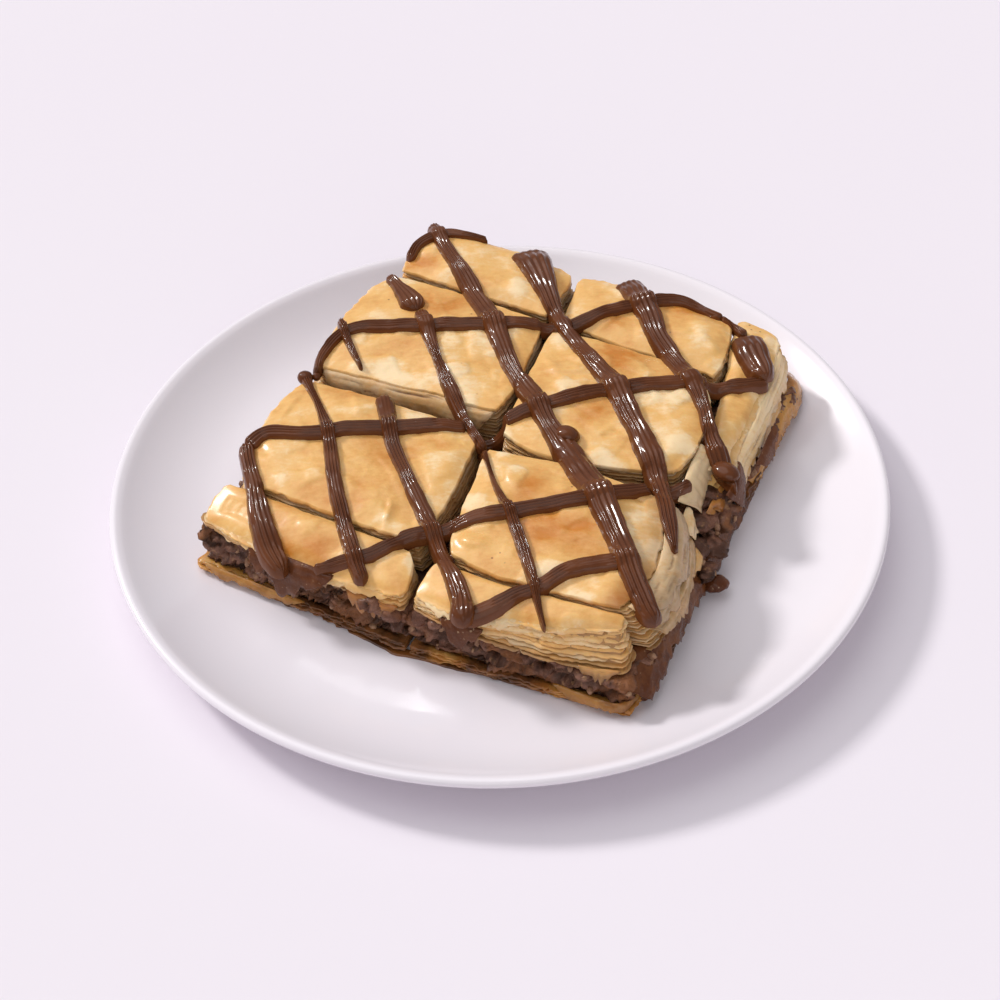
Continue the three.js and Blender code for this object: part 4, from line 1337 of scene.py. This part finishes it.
def toast_at(x, y, seed):
    """How brown the top is baked: unevenly, with its browner and its paler spots."""
    toast = USUAL_TOAST + TOAST_CHANGE * layered_noise(x, y, 13, seed)
    for spot_x, spot_y, radius, strength in TOASTED_SPOTS:
        away = np.hypot(x - spot_x, y - spot_y) / radius
        toast = toast + strength * np.exp(-1.6 * away ** 2)
    return np.clip(toast, 0, MOST_TOAST)


def tile_points(tile, a, b, up):
    """Points of a tile at a and b from -1 to 1 across and along it, and up from 0 to 1."""
    corners = np.array(tile["corners"], float)
    across = a * (1 - CORNER_ROUNDING * b ** 6)
    along = b * (1 - CORNER_ROUNDING * a ** 6)
    u, v = (across + 1) / 2, (along + 1) / 2
    weights = np.stack([(1 - u) * v, u * v, u * (1 - v), (1 - u) * (1 - v)], -1)
    points = weights @ corners
    spread = np.clip(1 - up, 0, 1) ** tile.get("steepness", TILE_STEEPNESS)
    if "foot" in tile:
        points[..., :2] += (weights @ np.array(tile["foot"], float)) * spread[..., None]
    for side, nearness in enumerate((v, u, 1 - v, 1 - u)):
        sideways = a if side % 2 == 0 else b
        out = tile["bulge"][side] * (1 - sideways ** 2) + tile["flare"][side] * spread
        points[..., :2] += side_directions(corners)[side] * (out * nearness)[..., None]
    x, y = points[..., 0].copy(), points[..., 1].copy()
    own_seed = round(abs(corners[0, 0]))
    for axis in range(2):
        seed = own_seed + axis
        points[..., axis] += (EDGE_WOBBLE * soft_noise(x, y, 12, seed)
                              + 0.4 * EDGE_WOBBLE * soft_noise(x, y, 4, seed + 3))
    pillow = CROWN * (1 - a ** 4) * (1 - b ** 4)
    bottom = level_height(FILLING_TOP, points[..., 0], points[..., 1]) + TILE_GAP
    bottom = bottom + weights @ np.array(tile.get("raised", (0, 0, 0, 0)), float)
    points[..., 2] = bottom + (points[..., 2] + pillow - bottom) * up
    return points


def side_path(tile, side, span, level):
    """Points along one side of a tile at a level, in the order seen from outside."""
    t = np.linspace(*span, 10) * 2 - 1
    one = np.ones_like(t)
    a, b = {"back": (-t, one), "right": (one, t), "front": (t, -one), "left": (-one, -t)}[side]
    return tile_points(TILES[tile], a, b, level * one)


def tile_sizes(tile):
    """The width and depth of a tile, as the means of its facing sides."""
    corners = np.array(tile["corners"], float)
    back, right, front, left = [np.linalg.norm(corners[i] - corners[(i + 1) % 4])
                                for i in range(4)]
    return (back + front) / 2, (left + right) / 2


def top_leaf(name, tile, seed):
    """The smooth uppermost leaf: it bends into the cuts and stands out torn on open sides."""
    width, depth = tile_sizes(tile)
    share = np.arange(1, FRINGE_ROWS + 1) / FRINGE_ROWS

    def run(length):
        """Places across the leaf, and how far each is over the edge, from -1 to 1."""
        inner = np.linspace(-1, 1, round(length / GRID_STEP) + 1)
        held = np.concatenate([-np.ones(FRINGE_ROWS), inner, np.ones(FRINGE_ROWS)])
        over = np.concatenate([-share[::-1], 0 * inner, share])
        return held, over

    (a, over_a), (b, over_b) = run(width), run(depth)
    a, b = np.meshgrid(a, b, indexing="ij")
    over_a, over_b = np.meshgrid(over_a, over_b, indexing="ij")
    points = tile_points(tile, a, b, np.ones_like(a))
    x, y = points[..., 0].copy(), points[..., 1].copy()

    # The fringe: it reaches out on open sides and bends down into the cuts on the others
    past = [np.clip(side, 0, 1) for side in (over_b, over_a, -over_b, -over_a)]
    directions = side_directions(np.array(tile["corners"], float))
    outward = unit(sum(directions[i] * past[i][..., None] for i in range(4)), 1e-9)
    free = sum(past[i] * tile["open"][i] for i in range(4)) / (sum(past) + 1e-9)
    over = np.minimum(np.hypot(over_a, over_b), 1.1)
    torn = 0.6 + 0.8 * soft_noise(x, y, 10, seed + 20) + 1.1 * (ridged(x, y, 2.6, seed + 21) - 0.5)
    torn = np.clip(torn, -0.3, 2)
    bend = over * math.pi / 2
    depth_in = 1.5 + 0.6 * soft_noise(x, y, 8, seed + 22) + 0.4 * soft_noise(x, y, 2.4, seed + 23)
    reach = free * torn * over + (1 - free) * CUT_LIP * np.sin(bend)
    drop = free * (0.3 + 0.2 * torn) * over ** 2 + (1 - free) * depth_in * (1 - np.cos(bend))
    points[..., :2] += outward * reach[..., None]

    # The relief: broad swells, blisters, fine creases and folds, softer near the edge
    inward = np.minimum((1 - np.abs(a)) * width, (1 - np.abs(b)) * depth) / 2
    inside = steps(inward, -1, 5)
    blister = steps(soft_noise(x, y, 7, seed + 6), 0.05, 0.6)
    small = steps(soft_noise(x, y, 4.5, seed + 8), 0.2, 0.5)
    creases = wrinkles(x, y, seed)
    lift = (1.0 * soft_noise(x, y, 19, seed + 5) + 0.5 * blister + 0.2 * small
            + 0.14 * creases + 0.16 * layered_noise(x, y, 3.5, seed + 7)
            + fold_lift(x, y, FOLDS))
    lift = np.maximum(lift, -0.25 - 1.5 * steps(inward, 3, 8))
    points[..., 2] += lift * (0.3 + 0.7 * inside) + 0.2 - drop

    toast = toast_at(x, y, seed) - 0.22 * blister - 0.08 * small - 0.14 * creases
    # Open torn edges are paler: a painted rim highlight.
    toast = toast * (1 - 0.5 * over * free)
    # Stain browns the fringe where it bends down into the cuts, partly as syrup stain and partly
    # as painted shade, and paints shade on the top towards its right side where a tile asks for
    # it.
    stain = np.maximum((1 - free) * np.clip(over - 0.25, 0, 1) * 0.8,
                       tile.get("painted_shade_right", 0) * steps(a, 0.66, 0.98))
    made = closed_sheet(name, points, SHEET, {"toast": toast, "stain": stain})
    made.data.materials.append(LEAF)
    return made


def tile_ring(tile):
    """a and b once round a tile's edge at even steps, and how open each place is."""
    width, depth = tile_sizes(tile)
    runs, free = [], []
    for side, (length, place) in enumerate((
            (width, lambda t: (t, 1 + 0 * t)), (depth, lambda t: (1 + 0 * t, -t)),
            (width, lambda t: (-t, -1 + 0 * t)), (depth, lambda t: (-1 + 0 * t, t)))):
        t = np.linspace(-1, 1, round(length / RING_STEP), endpoint=False)
        runs.append(np.stack(place(t), -1))
        free.append(np.full(len(t), float(tile["open"][side])))
    return *np.concatenate(runs).T, evened(np.concatenate(free))


def evened(values, half=3):
    """Values round a loop, each averaged with its neighbours."""
    return np.mean([np.roll(values, shift) for shift in range(-half, half + 1)], axis=0)


def leaf_ring(name, place, free):
    """A flat ring for the leaf stack. place gives the loops of feet and crowns at an inset."""
    loops = [place(inset) for inset in RING_INSETS]
    foot = np.concatenate([low for low, _ in loops])
    crown = np.concatenate([high for _, high in loops])
    outer = loops[-1][0]
    count = len(outer)
    tangent = np.roll(outer, -1, axis=0) - np.roll(outer, 1, axis=0)
    outward = unit(np.stack([tangent[:, 1], -tangent[:, 0], 0 * tangent[:, 0]], -1))
    if np.mean(np.sum(outward * (outer - outer.mean(0)), -1)) < 0:
        outward = -outward
    rows = len(RING_INSETS)
    edge = np.repeat(1 - np.array(RING_INSETS) / RING_INSETS[0], count)
    faces = [(i, above_i, above_j, j) for i, j, above_j, above_i in bands(rows, count)]
    area = np.sum(outer[:, 0] * np.roll(outer[:, 1], -1) - outer[:, 1] * np.roll(outer[:, 0], -1))
    if area < 0:
        faces = [face[::-1] for face in faces]
    return mesh_object(name, foot, faces, {
        "foot": foot * MM, "crown": crown * MM, "outward": np.tile(outward, (rows, 1)),
        "edge": edge, "open": np.tile(free, rows)})


def core_block(name, place, material, levels, seed, stain=0.0):
    """A closed block that backs a stack of leaves. place gives its loop at a level."""
    loops = [place(level)[::2] for level in levels]
    count = len(loops[0])
    points = []
    for level, loop in zip(levels, loops):
        middle = loop.mean(0)
        rough = 1 + 0.012 * soft_noise(loop[:, 0] + 31 * level, loop[:, 1], 2.5, seed)
        points.append(np.column_stack([middle[:2] + (loop[:, :2] - middle[:2]) * rough[:, None],
                                       loop[:, 2]]))
    total = count * len(levels)
    points = np.concatenate([*points, [loops[0].mean(0), loops[-1].mean(0)]])
    made = mesh_object(name, points, closed_bands(len(levels), count, total, total + 1), {
        "stain": np.full(len(points), stain), "toast": np.full(len(points), 0.5)})
    outward_faces(made)
    made.data.materials.append(material)
    return made


def stain_by_level(obj, start, full, most):
    """Colours a stack of leaves: darker near the filling, with painted shade inside the gaps and,
    in part, in the cuts.
    """
    level, edge, free = (kept_values(obj.data, title) for title in ("level", "edge", "open"))
    low = np.clip((start - level) / (start - full), 0, 1) * most
    # Painted shade inside the gaps between leaves; the cuts are browner, partly as syrup stain and
    # partly as painted shade.
    deep = np.clip(1 - edge, 0, 1) * 0.5
    cut = (1 - free) * (0.68 + 0.32 * (1 - level))
    keep_values(obj.data, "stain", np.maximum(np.maximum(low, deep), cut))
    # Toast rises inward from the leaves' edges: painted shade between the leaves.
    keep_values(obj.data, "toast", 0.24 + 0.35 * (1 - edge) + 0.16 * np.sin(level * 40))


def tile_piece(name, tile, seed):
    """One scored piece: its uppermost leaf, the pile of leaves under it and their core."""
    top = top_leaf(f"leaves_{name}", tile, seed)
    a, b, free = tile_ring(tile)
    width, depth = tile_sizes(tile)

    def loop(inset, level):
        return tile_points(tile, a * (1 - 2 * inset / width), b * (1 - 2 * inset / depth),
                           np.full_like(a, level))

    def crown(inset):
        return loop(inset, 1) - np.array((0, 0, CROWN_GAP))

    ring = leaf_ring(f"stack_{name}", lambda inset: (loop(inset, 0), crown(inset)), free)
    leaves = max(3, round(np.mean((loop(0, 1) - loop(0, 0))[:, 2]) / LEAF_SPACING))
    stack = grown(ring, STACK, leaves=leaves, thickness=0.3 * MM, reach=0.8 * MM,
                  wave=1.3 * MM, wave_size=0.013, seed=float(seed), finish=LEAF,
                  steepness=tile.get("steepness", TILE_STEEPNESS))
    stain_by_level(stack, start=0.45, full=0.0, most=0.75)
    # The core's stain is painted shade: it shows dark through the gaps between the leaves.
    core = core_block(f"core_{name}", lambda level: loop(CORE_INSET, level), LEAF,
                      (0.01, 0.3, 0.6, 0.9), seed, stain=0.6)
    return joined(f"leaves_{name}", [top, stack, core])


# The soaked base, in quarters of the slab

def bowed(start, end, bow):
    """A run between two corners that bows outward from the slab's middle."""
    start, end = np.array(start, float), np.array(end, float)
    t = np.linspace(0, 1, SIDE_STEPS)[:, None]
    run = end - start
    outward = np.array([run[1], -run[0]]) / np.linalg.norm(run)
    if outward @ (start + end) < 0:
        outward = -outward
    return start + run * t + outward * bow * 4 * t * (1 - t)


def quarter_outline(toward_back, toward_left, corner, bows):
    """The outline of one quarter, and how open each place of it is to the outside."""
    along = FRONT_TO_BACK[2:] if toward_back else FRONT_TO_BACK[2::-1]
    across = LEFT_TO_RIGHT[1::-1] if toward_left else LEFT_TO_RIGHT[1:]
    middle = (np.array(corner) + np.array(along[0])) / 2

    def shifted(line):
        """The line of a cut, moved by half the cut towards the quarter."""
        line = np.array(line, float)
        normal = left_of(line)
        sign = np.sign(np.sum(normal * (middle - line), axis=1))
        return line + normal * sign[:, None] * HALF_CUT

    first, second = shifted(along), shifted(across)
    first[0] = second[0] = first[0] + second[0] - np.array(along[0])
    outside = [bowed(first[-1], corner, bows[0]), bowed(corner, second[-1], bows[1])]
    runs = [polyline(run, RING_STEP) for run in (first, *outside, second[::-1])]
    free = [np.full(len(run), value) for run, value in zip(runs, (0.0, 1.0, 1.0, 0.0))]
    return np.concatenate(runs), evened(np.concatenate(free))


def base_piece(name, outline, free, seed):
    """The soaked leaves at the bottom of one quarter, lying on the plate's face."""
    middle = outline.mean(0)
    size = np.linalg.norm(outline - middle, axis=1).mean()

    def loop(inset, level):
        plan = middle + (outline - middle) * (1 - inset / size)
        low = plate_face(np.hypot(*plan.T)) + PLATE_GAP
        high = np.maximum(level_height(BASE_TOP, *plan.T) - BASE_GAP, low + 1)
        return np.column_stack([plan, low + (high - low) * level])

    ring = leaf_ring(f"soaked_{name}", lambda inset: (loop(inset, 0), loop(inset, 1)), free)
    stack = grown(ring, STACK, leaves=5, thickness=0.4 * MM, reach=1.2 * MM, wave=1.5 * MM,
                  wave_size=0.014, seed=seed + 40.0, finish=SOAKED, steepness=1.0)
    core = core_block(f"core_{name}", lambda level: loop(CORE_INSET, level), SOAKED,
                      (0.0, 0.35, 0.7, 1.0), seed + 60)
    made = joined(f"soaked_base_{name}", [stack, core])
    darken_base(made)
    return made


def darken_base(obj):
    """The base is dark with syrup, but for the places where it stays amber."""
    place = np.zeros(len(obj.data.vertices) * 3, np.float32)
    obj.data.vertices.foreach_get("co", place)
    x, y = place.reshape(-1, 3)[:, :2].T / MM
    amber = 0 * x
    for spot_x, spot_y, radius in AMBER_PLACES:
        away = np.hypot(x - spot_x, y - spot_y) + 5 * soft_noise(x, y, 9, 71)
        amber = np.maximum(amber, np.clip(1.5 - 1.5 * away / radius, 0, 1))
    keep_values(obj.data, "stain", np.clip(0.92 - amber, 0, 1))


# The filling

def filling_piece(name, seed):
    """The filling's solid, rebuilt finely and crumbled."""
    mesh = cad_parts[f"filling_{name}"].data.copy()
    shape = bmesh.new()
    shape.from_mesh(mesh)
    bmesh.ops.remove_doubles(shape, verts=shape.verts, dist=0.00001)
    shape.to_mesh(mesh)
    shape.free()
    mesh.materials.clear()
    return crumbled(linked(f"nut_filling_{name}", mesh), seed)


def crumbled(made, seed):
    """The same piece in fine even faces with the filling's hollows and nuts."""
    fine = made.modifiers.new("fine faces", "REMESH")
    fine.mode = "VOXEL"
    fine.voxel_size = FILLING_VOXEL * MM
    grown(made, CRUMBLE, seed=seed, filling=FILLING, nut=NUT, pieces=30000.0)
    made.modifiers.clear()
    return made


def ridge_lumps(path, seed):
    """Small lumps close together along a path, each a little off it."""
    chance = np.random.default_rng(seed)
    path = np.array(path, float)
    reach = run_lengths(path)
    line = points_at(path, reach, np.arange(0, reach[-1], RIDGE_STEP))
    line += chance.uniform(-1, 1, line.shape) * (1.2, 0.8, 1.2)
    radii = chance.uniform(0.7, 1.3, line.shape) * (2.4, 2, 1.9)
    return list(zip(line.tolist(), radii.tolist()))


def lumps_piece(name, places, finish, **values):
    """Rounded lumps at (x, y, z) places with their own radii."""
    middles = [middle for middle, _ in places]
    radii = np.array([size for _, size in places], float) * MM
    made = mesh_object(name, middles, [], {"radii": radii})
    return grown(made, LUMPS, finish=finish, **values)


# Leaves, flaps and films that hang from a path

def hanging_leaf(name, path, finish, seed, **sizes):
    """A leaf that hangs to the right of its path, whose sizes are in millimetres."""
    line = through(path, LEAF_STEP)
    outward = np.column_stack([-left_of(line), 0 * line[:, 0]])
    far = np.arange(len(line)) * LEAF_STEP
    size = np.sqrt(np.clip(np.minimum(far, far[-1] - far) / LEAF_TAPER, 0.04, 1))
    made = line_object(name, line, {
        "size": size, "far": far * MM + 0.03 * seed, "outward": outward})
    sizes = {**LEAF_SIZES, **sizes}
    for key in ("reach", "drop", "ridge_height"):
        sizes[key] *= MM
    return grown(made, HANGING, seed=float(seed), finish=finish, **sizes)


def hanging_leaves(table, finish, first_seed):
    """The leaves of one table, each with a seed of its own."""
    return [hanging_leaf(name, finish=finish, seed=first_seed + number, **values)
            for number, (name, values) in enumerate(table.items())]


def side_leaf(number, tile, side, span, level, **sizes):
    """A baked leaf that hangs out of one side of a tile."""
    path = side_path(tile, side, span, level)
    return hanging_leaf(f"{tile} {side} {number}", path, LEAF, number, **sizes)


# Chocolate

def dropped(tree, x, y):
    """The height in millimetres found under a point, or not a number."""
    hit = tree.ray_cast(Vector((x * MM, y * MM, RAY_START * MM)), Vector((0, 0, -1)))[0]
    return hit.z / MM if hit else math.nan


def window(values, half, pick):
    """The pick of each value and its neighbours, such as their largest."""
    padded = np.pad(values, half, mode="edge")
    return pick(np.lib.stride_tricks.sliding_window_view(padded, 2 * half + 1), axis=1)


def rest_line(line, tree):
    """How high a strand's underside lies along its line: it bridges gaps and sags a little."""
    normal = left_of(line)
    hits = []
    for side in (-0.3, 0, 0.3):
        plan = line[:, :2] + normal * (side * line[:, 2])[:, None]
        hits.append([dropped(tree, x, y) for x, y in plan])
    found = np.array(hits)
    empty = np.all(np.isnan(found), axis=0)
    found = np.where(np.isnan(found), NO_GROUND, found).max(0)
    known = np.flatnonzero(~empty)
    spot = np.arange(len(line))
    reach = STRAND_STEP * np.minimum.reduce([np.abs(spot - k) for k in (known[0], known[-1])])
    outside = (spot < known[0]) | (spot > known[-1])
    found = np.where(empty, np.interp(spot, known, found[known]) - 1.0, found)
    found = np.where(outside, found - STRAND_FALL * reach + 1.0, found)
    half = round(STRAND_BRIDGE / 2 / STRAND_STEP)
    closed = window(window(found, half, np.max), half, np.min)
    sagged = closed - np.minimum(closed - found, 3) * 0.25
    spread = STRAND_SMOOTHING / STRAND_STEP
    kernel = np.exp(-0.5 * (np.arange(-KERNEL_HALF, KERNEL_HALF + 1) / spread) ** 2)
    padded = np.pad(sagged, KERNEL_HALF, mode="edge")
    smooth = np.convolve(padded, kernel / kernel.sum(), mode="valid")
    return np.maximum(smooth, np.where(outside, NO_GROUND, found) - 0.4)


def strand_piece(name, points, under, tree, finish, cut=None, **sizes):
    """A strand on what is under it; cut, if given, is how short its first end is rounded."""
    line = through(points, STRAND_STEP)
    spot = np.arange(len(line)) * STRAND_STEP
    radius = np.maximum(line[:, 2] / 2, 1)
    to_end = np.minimum(spot / (cut or radius), (spot[-1] - spot) / radius)
    end = np.sqrt(np.clip(1 - (1 - np.minimum(to_end, 1)) ** 2, 0.0004, 1))
    thin = 0.45 + 0.55 * steps(spot, 1, 7) if cut else np.ones(len(line))
    made = line_object(name, np.column_stack([line[:, :2], rest_line(line, tree)]), {
        "width": line[:, 2] * MM, "end": end, "thin": thin})
    return grown(made, STRAND, under=under, finish=finish, **sizes)


def merged_copy(name, objects):
    """One throwaway object of several meshes, for things to lie on, and its search tree."""
    shape = bmesh.new()
    for item in objects:
        shape.from_mesh(item.data)
    mesh = bpy.data.meshes.new(name)
    shape.to_mesh(mesh)
    shape.free()
    made = linked(name, mesh)
    return made, mesh_tree(made)


def mesh_tree(obj):
    """A search tree that finds where a line meets a mesh."""
    return BVHTree.FromObject(obj, bpy.context.evaluated_depsgraph_get())


# Making the pieces

plate = plate_piece()
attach(plate, "root")
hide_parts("plate")

tiles = {}
for number, (name, tile) in enumerate(TILES.items()):
    tiles[name] = tile_piece(name, tile, 11 * number + 3)

bases, fillings = {}, {}
for number, (name, quarter) in enumerate(QUARTERS.items()):
    bases[name] = base_piece(name, *quarter_outline(*quarter), number)
    fillings[name] = filling_piece(name, number)

hanging = [side_leaf(number, **values) for number, values in enumerate(HANGING_LEAVES)]
hanging += hanging_leaves(SCRAPS, LEAF, 40)
films = hanging_leaves(CHOCOLATE_FILMS, FILM, 20)
flaps = hanging_leaves(BASE_FLAPS, SOAKED, 30)

tops, tops_tree = merged_copy("tops", [*tiles.values(), *hanging, *films])
across = [strand_piece(f"across {name}", points, tops, tops_tree, CHOCOLATE)
          for name, points in STRANDS_ACROSS.items()]
layers, layers_tree = merged_copy("tops_and_strands", [tops, *across])
along = [strand_piece(f"along {name}", points, layers, layers_tree, CHOCOLATE,
                      cut=CUT_STARTS.get(name))
         for name, points in STRANDS_ALONG.items()]
discarded(tops, layers)

blobs = lumps_piece("chocolate blobs", CHOCOLATE_BLOBS, CHOCOLATE, roughness=0.2 * MM)
knobs = lumps_piece("film knobs", FILM_KNOBS, FILM, seed=3)
lumps = list(FILLING_LUMPS)
for number, path in enumerate(FILLING_RIDGES):
    lumps += ridge_lumps(path, number + 5)
lumps = lumps_piece("lumps", lumps, FILLING, roughness=2.4 * MM, detail_scale=170.0)
syrup = strand_piece("pool", SYRUP_RUN, plate, mesh_tree(plate), SYRUP, rib_height=0.0,
                     thinnest=0.25 * MM, thicker=0.05, unevenness=0.45)

pieces = {
    "drizzle_across": ("chocolate", across),
    "drizzle_along": ("chocolate", [*along, blobs]),
    "chocolate_film": ("chocolate", [*films, knobs]),
    "hanging_leaves": ("baked_leaves", hanging),
    "base_flaps": ("soaked_base", flaps),
    "filling_lumps": ("nut_filling", [crumbled(lumps, 9)]),
    "syrup_pools": ("syrup", [syrup]),
}
for name, (slot, parts) in pieces.items():
    piece = joined(name, parts)
    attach(piece, "root")

for name, piece in tiles.items():
    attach(piece, "root")
    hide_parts(f"top_{name}")
for name in QUARTERS:
    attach(bases[name], "root")
    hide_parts(f"base_{name}")
    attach(fillings[name], "root")
    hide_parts(f"filling_{name}")


# Studio: floor, light and camera

FLOOR_HALF = 4000
ROOM_COLOUR = (1.0, 0.985, 1.0, 1)
ROOM_STRENGTH = 0.38
CAMERA_ELEVATION = math.radians(43.776)
CAMERA_ROLL = math.radians(-1.925)
CAMERA_DISTANCE = 607.82
CAMERA_TARGET = Vector((0.212, 5.482, 0))
CAMERA_LENS = 72
SENSOR_WIDTH = 36

floor = mesh_object("floor", [(-FLOOR_HALF, -FLOOR_HALF, 0), (FLOOR_HALF, -FLOOR_HALF, 0),
                              (FLOOR_HALF, FLOOR_HALF, 0), (-FLOOR_HALF, FLOOR_HALF, 0)],
                    [(0, 1, 2, 3)], {})
floor.data.materials.append(floor_finish())

scene = bpy.context.scene
scene.view_settings.view_transform = "Standard"
world = bpy.data.worlds.new("soft room")
world.use_nodes = True
world.node_tree.nodes["Background"].inputs["Color"].default_value = ROOM_COLOUR
world.node_tree.nodes["Background"].inputs["Strength"].default_value = ROOM_STRENGTH
scene.world = world


def far_light(name, direction, degrees, strength, colour):
    """Light from one direction, whose source looks so many degrees wide."""
    light = bpy.data.lights.new(name, "SUN")
    light.angle = math.radians(degrees)
    light.energy = strength
    light.color = colour
    made = linked(name, light)
    made.rotation_mode = "QUATERNION"
    made.rotation_quaternion = Vector(direction).to_track_quat("-Z", "Y")


far_light("key light", (24, -16, -23), 10, 1.8, (1.0, 0.985, 0.97))
far_light("soft light", (9, -7, -23), 60, 0.9, (1.0, 0.99, 1.0))
far_light("front fill", (-2, 17, -10), 50, 0.5, (1.0, 0.985, 0.96))
far_light("small window", (0.0408, -0.6583, -0.7516), 0.5, 0.004, (1.0, 1.0, 1.0))

lens = bpy.data.cameras.new("studio camera")
lens.lens = CAMERA_LENS
lens.sensor_width = SENSOR_WIDTH
lens.clip_start = 0.01
lens.clip_end = 30
camera = linked("studio camera", lens)
back = Vector((0, -math.cos(CAMERA_ELEVATION), math.sin(CAMERA_ELEVATION)))
level_right = Vector((1, 0, 0))
level_up = back.cross(level_right)
right = level_right * math.cos(CAMERA_ROLL) + level_up * math.sin(CAMERA_ROLL)
up = -level_right * math.sin(CAMERA_ROLL) + level_up * math.cos(CAMERA_ROLL)
turned = Matrix((right, up, back)).transposed().to_4x4()
camera.matrix_world = Matrix.Translation(
    (CAMERA_TARGET + back * CAMERA_DISTANCE) * MM) @ turned
scene.camera = camera
